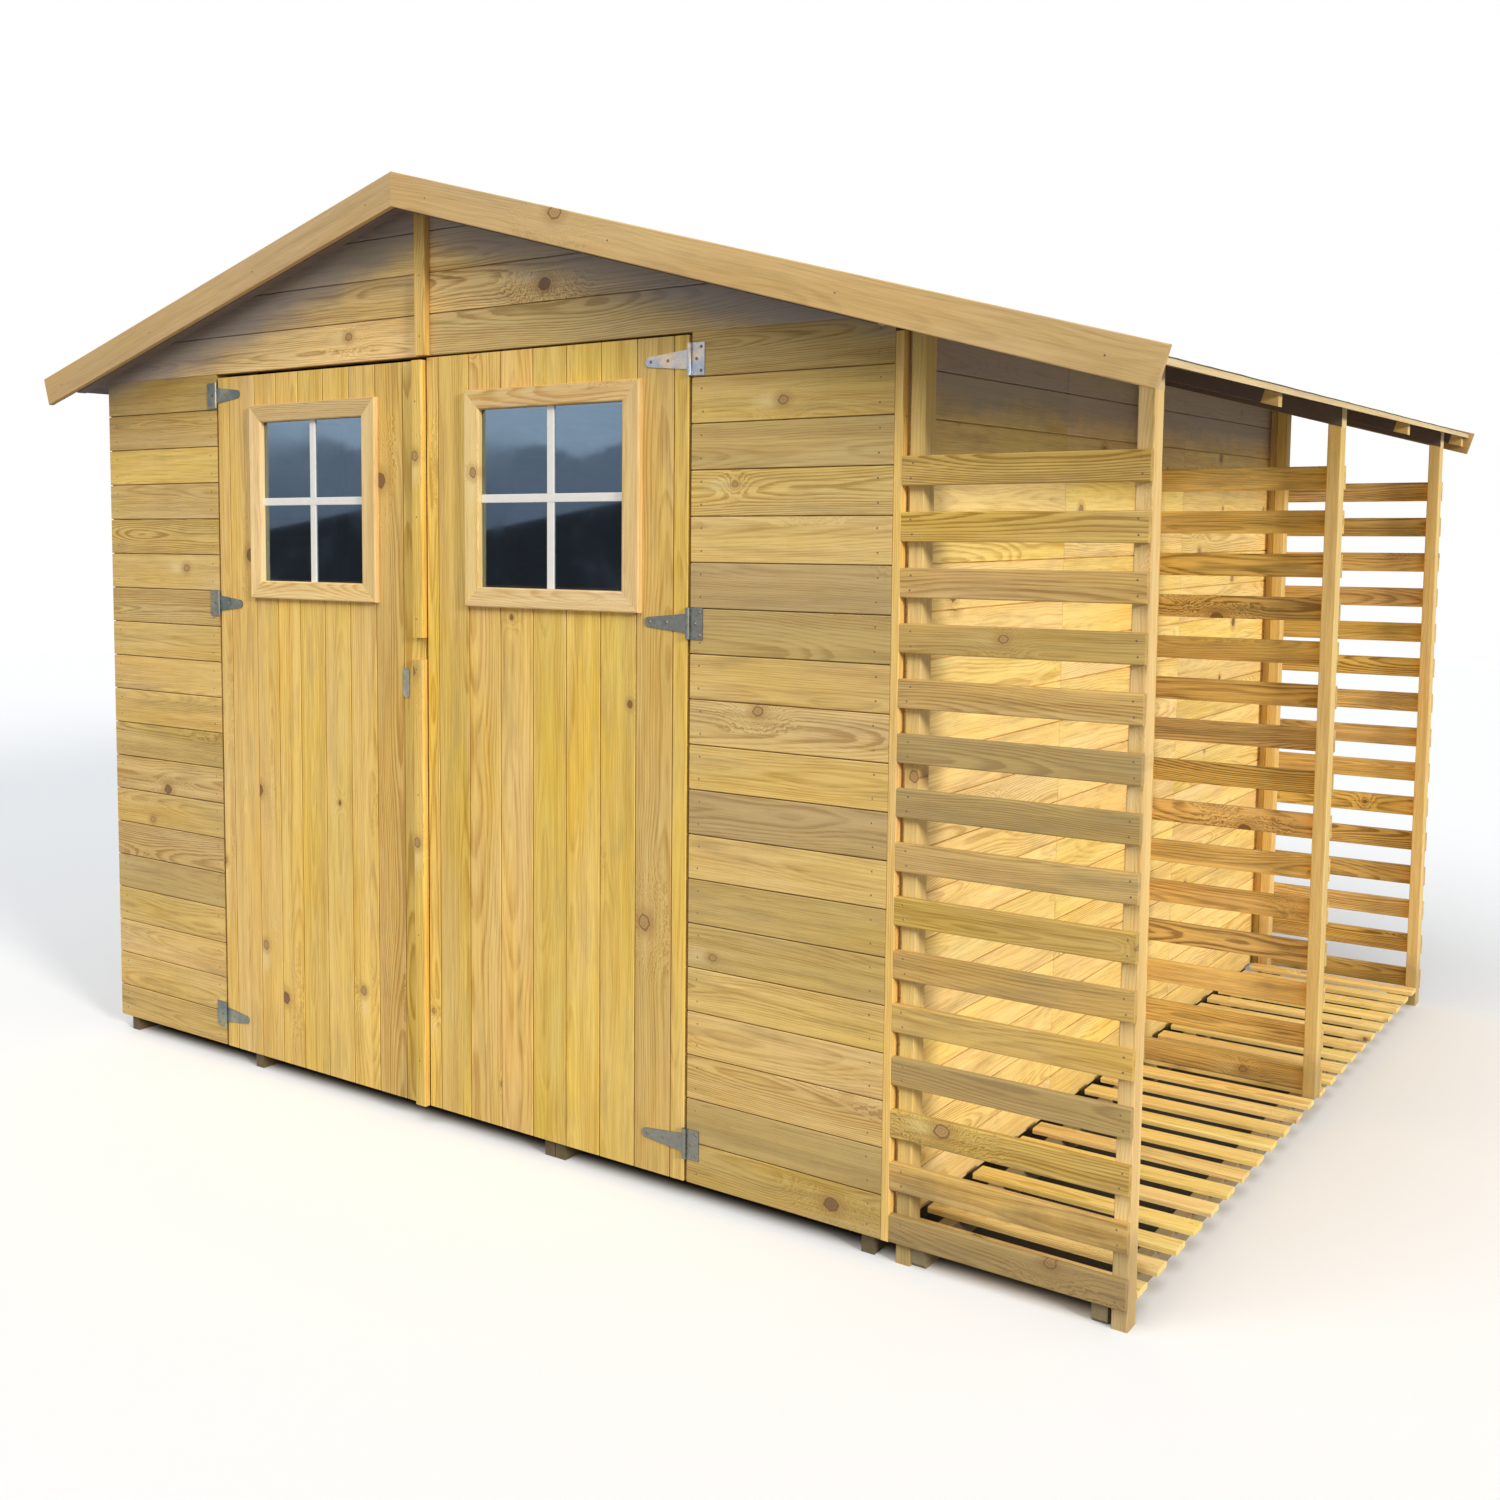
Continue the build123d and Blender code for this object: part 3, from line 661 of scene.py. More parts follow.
def panel(name, x_low, x_high, y_face, outward):
    """A boarded panel, with its studs and rails behind."""
    bm = bmesh.new()
    y_inner = y_face - outward * board
    matchboard(bm, (x_low, min(y_face, y_inner), z_sill), (x_high, max(y_face, y_inner), z_head),
               X, (Y, outward), joints(z_sill, z_head, lowest, pitch))
    rear, fore = sorted((y_inner, y_inner - outward * frame_depth))
    x_start = max(x_low, x_left + board)
    x_end = min(x_high, x_right - board)
    for z in (z_floor, z_head - stud):
        square(bm, (x_start, rear, z), (x_end, fore, z + stud), X, (Y, -outward))
    for x in (x_start, x_end - stud):
        square(bm, (x, rear, z_floor + stud), (x + stud, fore, z_head - stud), Z, (Y, -outward))
    finish_piece(name + "_boards", bm, wall_wood, stands_for=[name])


panel("front_wall_left", x_left, door_left, y_front, -1)
panel("front_wall_right", door_right, x_right, y_front, -1)
panel("back_wall_left", x_left, x_ridge, y_back, 1)
panel("back_wall_right", x_ridge, x_right, y_back, 1)

# %% [markdown]
# Each gable is two triangles of the same boards, meeting under the ridge. Laying full
# boards and cutting them with the plane of the roof is what a carpenter does, and
# bisect_plane does just that: it cuts, clears what is above, and the open ends are
# filled again.

# %% Gables
past_ridge, past_end = 30 * MM, 30 * MM


def gable(name, side, y_face, outward):
    """Half a gable, boarded outside and framed along its edges."""
    bm = bmesh.new()
    x_low, x_high = sorted((x_ridge, x_left if side < 0 else x_right))
    y_inner = y_face - outward * board
    matchboard(bm, (x_low, min(y_face, y_inner), z_head), (x_high, max(y_face, y_inner), z_ridge),
               X, (Y, outward), joints(z_head, z_ridge, pitch, pitch), cuts=[roof_plane(side)])
    rear, fore = sorted((y_inner, y_inner - outward * frame_depth))
    x_end = x_left + wall_depth if side < 0 else x_right - wall_depth
    x_low, x_high = sorted((x_ridge, x_end))
    square(bm, (x_low, rear, z_head), (x_high, fore, z_head + stud), X, (Y, -outward),
           cuts=[roof_plane(side)])
    reach = (x_high - x_low) / math.cos(slope) + past_end
    sloped(bm, side, -past_ridge, reach, rear, fore, 0, stud, front=(Y, -outward),
           cuts=[beyond(X, x_end, side), beyond(Z, z_head + stud, -1), beyond(X, x_ridge, -side)])
    finish_piece(name + "_boards", bm, gable_wood, stands_for=[name])


for side, word in ((-1, "left"), (1, "right")):
    gable(f"front_gable_{word}", side, y_front, -1)
    gable(f"back_gable_{word}", side, y_back, 1)

# %% [markdown]
# A side wall is three panels long. The joints between the panels show as upright lines
# on the store side, so the boards stop there, with a narrow gap between panels.

# %% Side walls
panel_gap = 1.6 * MM


def side_wall(name, x_face, outward, material, darkest=0.0):
    """A long wall of three boarded panels on studs and rails."""
    bm = bmesh.new()
    x_inner = x_face - outward * board
    z_top = roof_under(x_face) - rafter_depth / math.cos(slope)
    start, end = y_front + board, y_back - board
    panel_length = (end - start) / 3
    low_x, high_x = sorted((x_face, x_inner))
    for k in range(3):
        y_low = start + k * panel_length + (panel_gap / 2 if k else 0)
        y_high = start + (k + 1) * panel_length - (panel_gap / 2 if k < 2 else 0)
        matchboard(bm, (low_x, y_low, z_sill), (high_x, y_high, z_top), Y, (X, outward),
                   joints(z_sill, z_top, lowest, pitch), darkest=darkest)
    low_x, high_x = sorted((x_inner, x_inner - outward * frame_depth))
    first, last = y_front + wall_depth, y_back - wall_depth
    for z in (z_floor, z_top - stud):
        square(bm, (low_x, first, z), (high_x, last, z + stud), Y, (X, -outward))
    for k in range(4):
        y = first + k * (last - first - stud) / 3
        square(bm, (low_x, y, z_floor + stud), (high_x, y + stud, z_top - stud), Z, (X, -outward))
    finish_piece(name + "_boards", bm, material, stands_for=[name])


side_wall("left_wall", x_left, -1, wall_wood)
# The store side is boarded in the brighter copy of the wall wood, painted light.
side_wall("right_wall", x_right, 1, sunlit_wall_wood, darkest=0.45)

# %% [markdown]
# Thin planed trims close the corners on the store side and cover the joint of the
# front gable. They are single timbers with softly rounded arrises. The one at the back
# corner is of a paler wood: painted light against the shade the store post casts on it.

# %% Corner trims and gable cover strip
trim_low, trim_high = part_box("corner_trims")
trim_depth = 30 * MM
for end, y, wood in (("front", trim_low.y, door_wood), ("back", trim_high.y - trim_depth, pale_wood)):
    bm = bmesh.new()
    square(bm, (trim_low.x, y, trim_low.z), (trim_high.x, y + trim_depth, trim_high.z), Z, (X, 1),
           ease=2 * MM, steps=2)
    finish_piece(f"{end}_corner_trim", bm, wood, stands_for=["corner_trims"])

bm = bmesh.new()
low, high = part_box("gable_cover_strip")
square(bm, low, high, Z, (Y, -1), ease=3 * MM, steps=2)
finish_piece("gable_strip", bm, door_wood, stands_for=["gable_cover_strip"])

# %% [markdown]
# A door leaf is upright matchboard on ledges and a brace, with a window cut through.
# A board that meets the window is sawn from one log three times, beside, over and
# under the opening, so its grain runs on past it.

# %% Door boards
pane_slack = 0.3 * MM


def leaf_boards(prefix, widths, tones):
    """Upright boards of one leaf, from its left edge, cut round its window."""
    bm = bmesh.new()
    low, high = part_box(prefix + "_boards")
    lines = [low.x]
    for width in widths:
        lines.append(lines[-1] + width * MM)
    lines.append(high.x)
    pane_low, pane_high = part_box(prefix + "_glass")
    hole_left, hole_right = pane_low.x - pane_slack, pane_high.x + pane_slack
    over_hole = beyond(Z, pane_high.z + pane_slack, -1)
    under_hole = beyond(Z, pane_low.z - pane_slack)
    across_hole = [beyond(X, hole_left, -1), beyond(X, hole_right)]
    for k, (a, b) in enumerate(zip(lines, lines[1:])):
        start = a + (board_gap / 2 if k else 0)
        end = b - (board_gap / 2 if k < len(lines) - 2 else 0)
        log = (*tree_place()[:3], tones[k])
        if b < hole_left or a > hole_right:
            bits = [[]]
        else:
            bits = [across_hole + [over_hole], across_hole + [under_hole]]
            if a < hole_left:
                bits.append([beyond(X, hole_left)])
            if b > hole_right:
                bits.append([beyond(X, hole_right, -1)])
        for cuts in bits:
            square(bm, (start, low.y, low.z), (end, high.y, high.z), Z, (Y, -1), cuts=cuts, log=log,
                   **board_ease)
        if k:
            bits = [[over_hole], [under_hole]] if hole_left < a < hole_right else [[]]
            for cuts in bits:
                square(bm, (a - board_gap / 2, low.y + tongue_back, low.z),
                       (a + board_gap / 2, high.y, high.z), Z, (Y, -1), ease=0, cuts=cuts, log=log)
    finish_piece(prefix + "_matchboard", bm, door_wood, prefix, [prefix + "_boards"])


leaf_boards("left_door", (43, 97, 81, 81, 90, 90, 90, 91),
            (0.62, 0.58, 0.66, 0.86, 0.64, 0.6, 0.78, 0.3, 0.56))
leaf_boards("right_door", (36, 94.4, 94.4, 94.4, 94.4, 94.4, 94.4, 94.4),
            (0.9, 0.46, 0.72, 0.79, 0.5, 0.88, 0.5, 0.2, 0.6))

# %% [markdown]
# The window moulding is four lengths mitred at the corners. Each length is a timber
# with a rounded front, cut by two planes at forty five degrees. The white glazing bars
# cross on the face of the pane.

# %% Window mouldings and glazing bars
moulding_width, bead = 45 * MM, 11 * MM
bar, bar_depth = 19 * MM, 3.5 * MM
bead_gap = 0.2 * MM
bar_inset = Vector((6, 0, 6)) * MM


def moulding(prefix):
    """Four mitred lengths round one pane."""
    low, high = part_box(prefix + "_window_frame")
    bm = bmesh.new()
    round_front = dict(ease=4 * MM, steps=3, front_only=True)

    def mitre(cx, cz, along):
        """The plane through a corner that keeps the length which runs along the given axis."""
        corner = Vector((low.x if cx < 0 else high.x, 0, low.z if cz < 0 else high.z))
        normal = Vector((cx, 0, -cz)) if along == X else Vector((-cx, 0, cz))
        return corner, normal.normalized()

    for cz in (-1, 1):
        z_low = low.z if cz < 0 else high.z - moulding_width
        square(bm, (low.x, low.y, z_low), (high.x, high.y, z_low + moulding_width), X, (Y, -1),
               cuts=[mitre(-1, cz, X), mitre(1, cz, X)], **round_front)
    for cx in (-1, 1):
        x_low = low.x if cx < 0 else high.x - moulding_width
        square(bm, (x_low, low.y, low.z), (x_low + moulding_width, high.y, high.z), Z, (Y, -1),
               cuts=[mitre(cx, -1, Z), mitre(cx, 1, Z)], **round_front)
    finish_piece(prefix + "_moulding", bm, moulding_wood, prefix, [prefix + "_window_frame"])
    return (low + high) / 2


def glazing(prefix, centre):
    """Beads behind one pane, crossed bars on its face, and the glass itself."""
    low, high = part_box(prefix + "_glass")
    bm = bmesh.new()
    round_back = dict(ease=3 * MM, steps=2, front_only=True)
    y_bead = high.y + bead_gap
    for z in (low.z, high.z - bead):
        square(bm, (low.x, y_bead, z), (high.x, y_bead + bead, z + bead), X, (Y, 1), **round_back)
    for x in (low.x, high.x - bead):
        square(bm, (x, y_bead, low.z + bead), (x + bead, y_bead + bead, high.z - bead), Z, (Y, 1),
               **round_back)
    finish_piece(prefix + "_glazing_beads", bm, moulding_wood, prefix)

    bm = bmesh.new()
    eased = dict(ease=1.2 * MM, steps=2, front_only=True)
    start, end, half = low + bar_inset, high - bar_inset, bar / 2
    y_bar = low.y - bar_depth
    square(bm, (start.x, y_bar, centre.z - half), (end.x, low.y, centre.z + half), X, (Y, -1), **eased)
    for z_low, z_high in ((start.z, centre.z - half), (centre.z + half, end.z)):
        square(bm, (centre.x - half, y_bar, z_low), (centre.x + half, low.y, z_high), Z, (Y, -1), **eased)
    finish_piece(prefix + "_glazing_bars", bm, white_bar, prefix)
    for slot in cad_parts[prefix + "_glass"].material_slots:
        slot.material = glass


for leaf in ("left_door", "right_door"):
    glazing(leaf, moulding(leaf))

# %% [markdown]
# The left leaf carries a rounded cover strip over the meeting edges. It stops short at
# the height of the latch, where a notch lets a finger or a turn button in.

# %% Cover strip
bm = bmesh.new()
strip_low, strip_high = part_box("door_cover_strip")
notch_low, notch_high = z_sill + 1084 * MM, z_sill + 1136 * MM
lap = 3 * MM
log = tree_place()
for z_low, z_high in ((strip_low.z, notch_low), (notch_high, strip_high.z)):
    square(bm, (strip_low.x, strip_low.y, z_low), (strip_high.x + lap, strip_high.y, z_high), Z, (Y, -1),
           ease=3.5 * MM, steps=3, front_only=True, log=log)
finish_piece("cover_strip", bm, door_wood, "left_door", ["door_cover_strip"])

# %% [markdown]
# The ledges and braces stay as the solids they are and only take a finish. So do the
# hinges, which need crisp flat plates, with screws added: low heads with sloping sides.

# %% Ledges, braces and hinges
def paint(name, material):
    """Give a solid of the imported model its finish."""
    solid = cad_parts[name]
    if not solid.material_slots:
        solid.data.materials.append(material)
    for slot in solid.material_slots:
        slot.material = material


for word, metal in (("left", dull_zinc), ("right", zinc)):
    paint(f"{word}_door_braces", brace_wood)
    paint(f"{word}_hinge_plates", metal)
    paint(f"{word}_hinge_straps", metal)
paint("latch_plate", plate_zinc)
screw_radius, screw_height = 3.6 * MM, 1.8 * MM
metal_thickness = 2.5 * MM
hinge_heights = (85 * MM, 1197 * MM, 1740 * MM)
plate_screws = ((8 * MM, -24 * MM), (19 * MM, 0), (8 * MM, 24 * MM))
strap_screws = (13 * MM, 56 * MM)


def screw(bm, x, z):
    """A low head on the face of a hinge."""
    place = Vector((x, y_front - metal_thickness - screw_height / 2, z))
    bmesh.ops.create_cone(bm, cap_ends=True, segments=12, radius1=screw_radius,
                          radius2=screw_radius * 0.6, depth=screw_height,
                          matrix=Matrix.Translation(place) @ Matrix.Rotation(math.radians(90), 4, "X"))


for side, word in ((-1, "left"), (1, "right")):
    outer = 0 if side < 0 else 1
    x_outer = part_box(f"{word}_hinge_plates")[outer].x
    x_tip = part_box(f"{word}_hinge_straps")[1 - outer].x
    plates, straps = bmesh.new(), bmesh.new()
    for height in hinge_heights:
        z = z_sill + height
        for dx, dz in plate_screws:
            screw(plates, x_outer - side * dx, z + dz)
        for dx in strap_screws:
            screw(straps, x_tip + side * dx, z)
    finish_piece(f"{word}_plate_screws", plates, nail_steel)
    finish_piece(f"{word}_strap_screws", straps, nail_steel, f"{word}_door")

# %% [markdown]
# The roof is matchboard laid level, from the ridge down each slope, with the rafters
# under it. From outside only its edges and its underside show, and the underside is
# painted dark as shade. The bargeboards are planed boards, cut plumb where they meet at
# the ridge. The rafters' tails are slimmer than the part over the shed, and end in a
# small pale block at the eaves, a paler wood that paints light on the tips.

# %% Roof boards
roof_start, roof_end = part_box("roof_deck_left")[0].y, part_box("roof_deck_left")[1].y
roof_length = roof_end - roof_start
deck_pitch, past_cut = 95 * MM, 6 * MM


def roof_boards(side, word):
    """Matchboard along the building, from the ridge down to the eaves."""
    low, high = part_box(f"roof_deck_{word}")
    eave = low.x if side < 0 else high.x
    down, up = slope_axes(side)

    def level(distance, height):
        """The matrix of a timber that runs level, its face down to the rafters."""
        centre = Vector((x_ridge, 0, z_ridge)) + down * distance + up * height
        centre.y = (roof_start + roof_end) / 2
        return turned(centre, unit(Y), (-up).cross(unit(Y)), -up)

    bm = bmesh.new()
    lines = joints(0.0, (high.x - low.x) / math.cos(slope), deck_pitch, deck_pitch)
    for k, (a, b) in enumerate(zip(lines, lines[1:])):
        first = a + (board_gap / 2 if k else -past_cut)
        last = b - (board_gap / 2 if k < len(lines) - 2 else -past_cut)
        log = tree_place()
        timber(bm, (roof_length, last - first, board), level((first + last) / 2, board / 2),
               ease=0.9 * MM, front_only=True, cuts=[beyond(X, x_ridge, -side), beyond(X, eave, side)],
               log=log)
        if k:
            timber(bm, (roof_length, board_gap, board - tongue_back),
                   level(a, (board + tongue_back) / 2), ease=0, log=log)
    finish_piece(f"roof_boards_{word}", bm, roof_wood, stands_for=[f"roof_deck_{word}"])


# %% Rafters and bargeboards
tail_depth, tip_length, over_tip = 28 * MM, 27 * MM, 20 * MM
tail_starts = 25 * MM
rafter_rows = (roof_start, y_front + 662 * MM, y_front + 1916 * MM, roof_end - rafter_width)
barge_rows = (("front", -1, 22 * MM + board, 75 * MM), ("back", 1, 5 * MM + board, 63 * MM))


def rafters(side, word):
    """A row of rafters with slim tails, and the pale ends of the tails."""
    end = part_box(f"rafters_{word}")[1 if side > 0 else 0].x
    run = (end - x_ridge) * side / math.cos(slope)
    over_wall = abs((x_right if side > 0 else x_left) - x_ridge) / math.cos(slope) + tail_starts
    at_tip = beyond(X, x_ridge + side * run * math.cos(slope), side)
    bm, tips = bmesh.new(), bmesh.new()
    for y in rafter_rows:
        sloped(bm, side, -past_ridge, over_wall, y, y + rafter_width, 0, rafter_depth, ease=1 * MM,
               cuts=[beyond(X, x_ridge, -side)])
        sloped(bm, side, over_wall, run - tip_length, y, y + rafter_width, 0, tail_depth, ease=1 * MM)
        sloped(tips, side, run - tip_length, run + over_tip, y, y + rafter_width, 0, tail_depth,
               ease=1 * MM, cuts=[at_tip])
    finish_piece(f"sawn_rafters_{word}", bm, roof_wood, stands_for=[f"rafters_{word}"])
    finish_piece(f"rafter_tips_{word}", tips, post_wood)


def bargeboard(side, word, end, outward, top, width):
    """A planed board over the ends of the roof boards, its top above their underside."""
    low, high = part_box(f"{end}_bargeboard_{word}")
    foot = (high.x - low.x) / math.cos(slope) - top * math.sin(slope)
    bm = bmesh.new()
    sloped(bm, side, -40 * MM, foot, low.y, high.y, -top * math.cos(slope), width,
           front=(Y, outward), ease=2 * MM, steps=2, cuts=[beyond(X, x_ridge, -side)])
    finish_piece(f"{end}_barge_{word}", bm, barge_wood,
                 stands_for=[f"{end}_bargeboard_{word}"])


for side, word in ((-1, "left"), (1, "right")):
    roof_boards(side, word)
    rafters(side, word)
    for end, outward, top, width in barge_rows:
        bargeboard(side, word, end, outward, top, width)

# %% [markdown]
# Felt comes in rolls a metre wide. Two courses cover each slope, the upper lapping the
# lower, and a narrow strip caps the ridge. Each sheet is a thin slab, divided along its
# length and lifted a little here and there, because felt never lies quite flat.

# %% Roofing felt
felt_thickness, felt_lift = 1.6 * MM, 0.9 * MM
second_course, third_course = 1.8 * MM, 3.8 * MM


def felt_sheet(bm, side, start, end, lift):
    """One course of felt on a slope, from start to end down from the ridge."""
    down, up = slope_axes(side)
    sheet = bmesh.new()
    bmesh.ops.create_grid(sheet, x_segments=6, y_segments=44, size=0.5)
    bmesh.ops.scale(sheet, vec=(end - start, roof_length, 1), verts=sheet.verts)
    for v in sheet.verts:
        rim = abs(abs(v.co.y) - roof_length / 2) < 1e-4
        v.co.z = 0 if rim else luck.uniform(0, 1) * felt_lift
    skin = bmesh.ops.extrude_face_region(sheet, geom=sheet.faces[:])
    lower = [v for v in skin["geom"] if isinstance(v, bmesh.types.BMVert)]
    bmesh.ops.translate(sheet, vec=(0, 0, -felt_thickness), verts=lower)
    bmesh.ops.recalc_face_normals(sheet, faces=sheet.faces)
    centre = Vector((x_ridge, 0, z_ridge)) + down * (start + end) / 2
    centre += up * (board + lift + felt_thickness)
    bmesh.ops.transform(sheet, matrix=turned(centre, down, up.cross(down), up), verts=sheet.verts)
    sheet.to_mesh(sawdust)
    sheet.free()
    bm.from_mesh(sawdust)


bm = bmesh.new()
for side, word in ((-1, "left"), (1, "right")):
    low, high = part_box(f"roof_deck_{word}")
    reach = (high.x - low.x) / math.cos(slope)
    to_ridge = (board + third_course + felt_thickness / 2) * math.tan(slope)
    felt_sheet(bm, side, reach * 0.47, reach - 2 * MM, 0.0)
    felt_sheet(bm, side, 2 * MM, reach * 0.5, second_course)
    felt_sheet(bm, side, -to_ridge, 160 * MM, third_course)
finish_piece("felt_courses", bm, felt, stands_for=["roof_felt"])
paint("ridge_beam", ridge_wood)
paint("eaves_blocks", ridge_wood)

# %% [markdown]
# The log store has three open sides of fifteen level slats on two posts, under a rail
# that follows the roof. The slats are planed, with rounded arrises, and differ only in
# their grain and tone. The front side has its slats outside the posts, and the middle
# and back ones have them behind.

# %% Slatted lattices
slat, slat_height, slat_pitch, slat_count = 16 * MM, 56 * MM, 105.3 * MM, 15
post_width, post_depth = 30 * MM, 45 * MM
y_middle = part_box("middle_lattice")[0].y
y_back_posts = y_back - slat - post_depth
lattices = (("front_lattice", y_front + slat, False, 0, z_sill, store_wood),
            ("middle_lattice", y_middle, True, z_store_floor, z_store_floor, brown_wood),
            ("back_lattice", y_back_posts, True, 0, z_sill, brown_wood))


def lattice(name, y_posts, slats_behind, z_foot, z_first, material):
    """Posts, a sloping rail and slats of one side of a log bay."""
    bm, posts, rail = bmesh.new(), bmesh.new(), bmesh.new()
    rounded = dict(ease=2 * MM, steps=2)
    for x in (x_right + 26 * MM, x_store - post_width):
        square(posts, (x, y_posts, z_foot), (x + post_width, y_posts + post_depth, z_ridge), Z, (Y, -1),
               cuts=[roof_plane(1, post_depth)], log=(*tree_place()[:3], luck.uniform(0.5, 1.0)),
               **rounded)
    start, end = ((x - x_ridge) / math.cos(slope) for x in (x_right, x_store))
    sloped(rail, 1, start - 20 * MM, end + 20 * MM, y_posts, y_posts + post_depth, 0,
           post_depth * math.cos(slope), cuts=[beyond(X, x_right, -1), beyond(X, x_store)], **rounded)
    y_slats = y_posts + post_depth if slats_behind else y_posts - slat
    for k in range(slat_count):
        z = z_first + k * slat_pitch
        square(bm, (x_right + 18 * MM, y_slats, z), (x_store, y_slats + slat, z + slat_height),
               X, (Y, -1), ease=2.5 * MM, steps=2)
    finish_piece(name + "_slats", bm, material, stands_for=[name])
    # The rail takes the roof wood, and so its painted soffit shade.
    finish_piece(name + "_rail", rail, roof_wood)
    finish_piece(name + "_posts", posts, post_wood)


for row in lattices:
    lattice(*row)

# %% Store floor and bearers
bm = bmesh.new()
low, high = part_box("store_floor_slats")
slat_width, slat_gap = 56 * MM, 54 * MM
count = round((high.y - low.y + slat_gap) / (slat_width + slat_gap))
step = (high.y - low.y - slat_width) / (count - 1)
for k in range(count):
    y = low.y + k * step
    square(bm, (low.x, y, low.z), (high.x, y + slat_width, high.z), X, (Z, 1), ease=4 * MM, steps=3,
           front_only=True, log=(*tree_place()[:3], luck.uniform(0.6, 1.0)))
finish_piece("store_floor", bm, floor_wood, stands_for=["store_floor_slats"])
paint("floor_bearers", bearer_wood)
paint("store_bearers", store_bearer_wood)

# %% Shed floor
bm = bmesh.new()
low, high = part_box("shed_floor")
matchboard(bm, low, high, X, (Z, 1), joints(low.y, high.y, deck_pitch, deck_pitch))
finish_piece("floor_boards", bm, inner_wood, stands_for=["shed_floor"])

# %% [markdown]
# Boards stay up because they are nailed. Small heads, a little below the surface of
# the wood at their rim, sit two to each end of a board or slat. A head needs only
# eight sides, since there are hundreds of them.

# %% Nails
nail_radius, nail_height, proud = 2.2 * MM, 0.8 * MM, 0.2 * MM


def nail(bm, place, normal):
    """One nail head, its face along the normal."""
    turn = Vector(normal).to_track_quat("Z", "Y").to_matrix().to_4x4()
    bmesh.ops.create_cone(bm, cap_ends=True, segments=8, radius1=nail_radius,
                          radius2=nail_radius * 0.7, depth=nail_height,
                          matrix=Matrix.Translation(place) @ turn)


def about(middle, by):
    """A place near the middle, since nobody nails on a perfect line."""
    return middle + luck.uniform(-by, by) * MM


to_front = (0, -1, 0)
bm = bmesh.new()
board_lines = joints(z_sill, z_head, lowest, pitch)
for a, b in zip(board_lines, board_lines[1:]):
    for x in (x_left + 30 * MM, door_left - 24 * MM, door_right + 24 * MM, x_right - 30 * MM):
        for z in (a + 24 * MM, b - 24 * MM):
            nail(bm, (about(x, 3), y_front - proud, z), to_front)
for _, y_posts, behind, _, z_first, _ in lattices:
    y = y_posts + post_depth + slat + proud if behind else y_posts - slat - proud
    for k in range(slat_count):
        for x in (x_right + 40 * MM, x_store - post_width / 2):
            for z in (14 * MM, 42 * MM):
                nail(bm, (about(x, 4), y, z_first + k * slat_pitch + z), (0, 1 if behind else -1, 0))
low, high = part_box("gable_cover_strip")
for share in (0.12, 0.5, 0.88):
    nail(bm, ((low.x + high.x) / 2, low.y - proud, low.z + share * (high.z - low.z)), to_front)
for y in (trim_low.y + trim_depth / 2, trim_high.y - trim_depth / 2):
    for k in range(6):
        share = 0.06 + 0.17 * k
        nail(bm, (trim_high.x + proud, about(y, 4), trim_low.z + share * (trim_high.z - trim_low.z)),
             (1, 0, 0))
for side, word in ((-1, "left"), (1, "right")):
    low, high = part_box(f"front_bargeboard_{word}")
    for share in (0.06, 0.35, 0.65, 0.94):
        x = x_ridge + side * share * (high.x - low.x)
        nail(bm, (x, low.y - proud, roof_under(x) - 8 * MM), to_front)
finish_piece("nail_heads", bm, nail_steel)

bm = bmesh.new()
x_strip = (strip_low.x + strip_high.x) / 2
for height in (110, 420, 760, 1060, 1180, 1420, 1690):
    nail(bm, (about(x_strip, 3), strip_low.y - proud, z_sill + height * MM), to_front)
finish_piece("strip_nails", bm, nail_steel, "left_door")

# %% [markdown]
# The studio is a pale floor under a white surround. To the camera both are white.
# Diffuse light meets a darker floor, like the ground outdoors. Right under the
# building the floor is painted near black as shade, which shows between the store's slats.

# %% Floor
bm = bmesh.new()
bmesh.ops.create_circle(bm, cap_ends=True, segments=96, radius=15)
mesh = bpy.data.meshes.new("studio_floor")
bm.to_mesh(mesh)
bm.free()
floor = bpy.data.objects.new("studio_floor", mesh)
bpy.context.scene.collection.objects.link(floor)
floor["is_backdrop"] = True
floor_paint, w, shader = new_material("studio_floor_paint")
# The near-black colour under the building's footprint is painted shade.
to_camera, to_diffuse, painted_shade_under = (0.93, 0.93, 0.94), (0.31, 0.29, 0.265), (0.04, 0.036, 0.033)
shade_inset, shade_fade = 90 * MM, 50 * MM
is_diffuse = w.node("LightPath").outputs["Is Diffuse Ray"]
place = w.split(w.object_place())
under = 1.0
for axis, start, end in ((X, x_left, x_store), (Y, y_front, y_back)):
    off_middle = w.calc("ABSOLUTE", w.minus(place[axis], (start + end) / 2))
    shade_edge = (end - start) / 2 - shade_inset
    under = w.times(under, w.step(off_middle, shade_edge, shade_edge + shade_fade, 1.0, 0.0))
w.fill(shader, {"Base Color": w.mix(under, w.mix(is_diffuse, to_camera, to_diffuse), painted_shade_under),
                "Roughness": 0.9})
mesh.materials.append(floor_paint)

# %% [markdown]
# The surround fills the shade with cool light. The camera and what shows through the
# panes see it white. Reflections see a pale sky with clouds, over grey hills and a
# row of dark roofs, because a pane that mirrors plain white looks like paper. The
# roofs are a saw of slopes, repeated round the horizon.

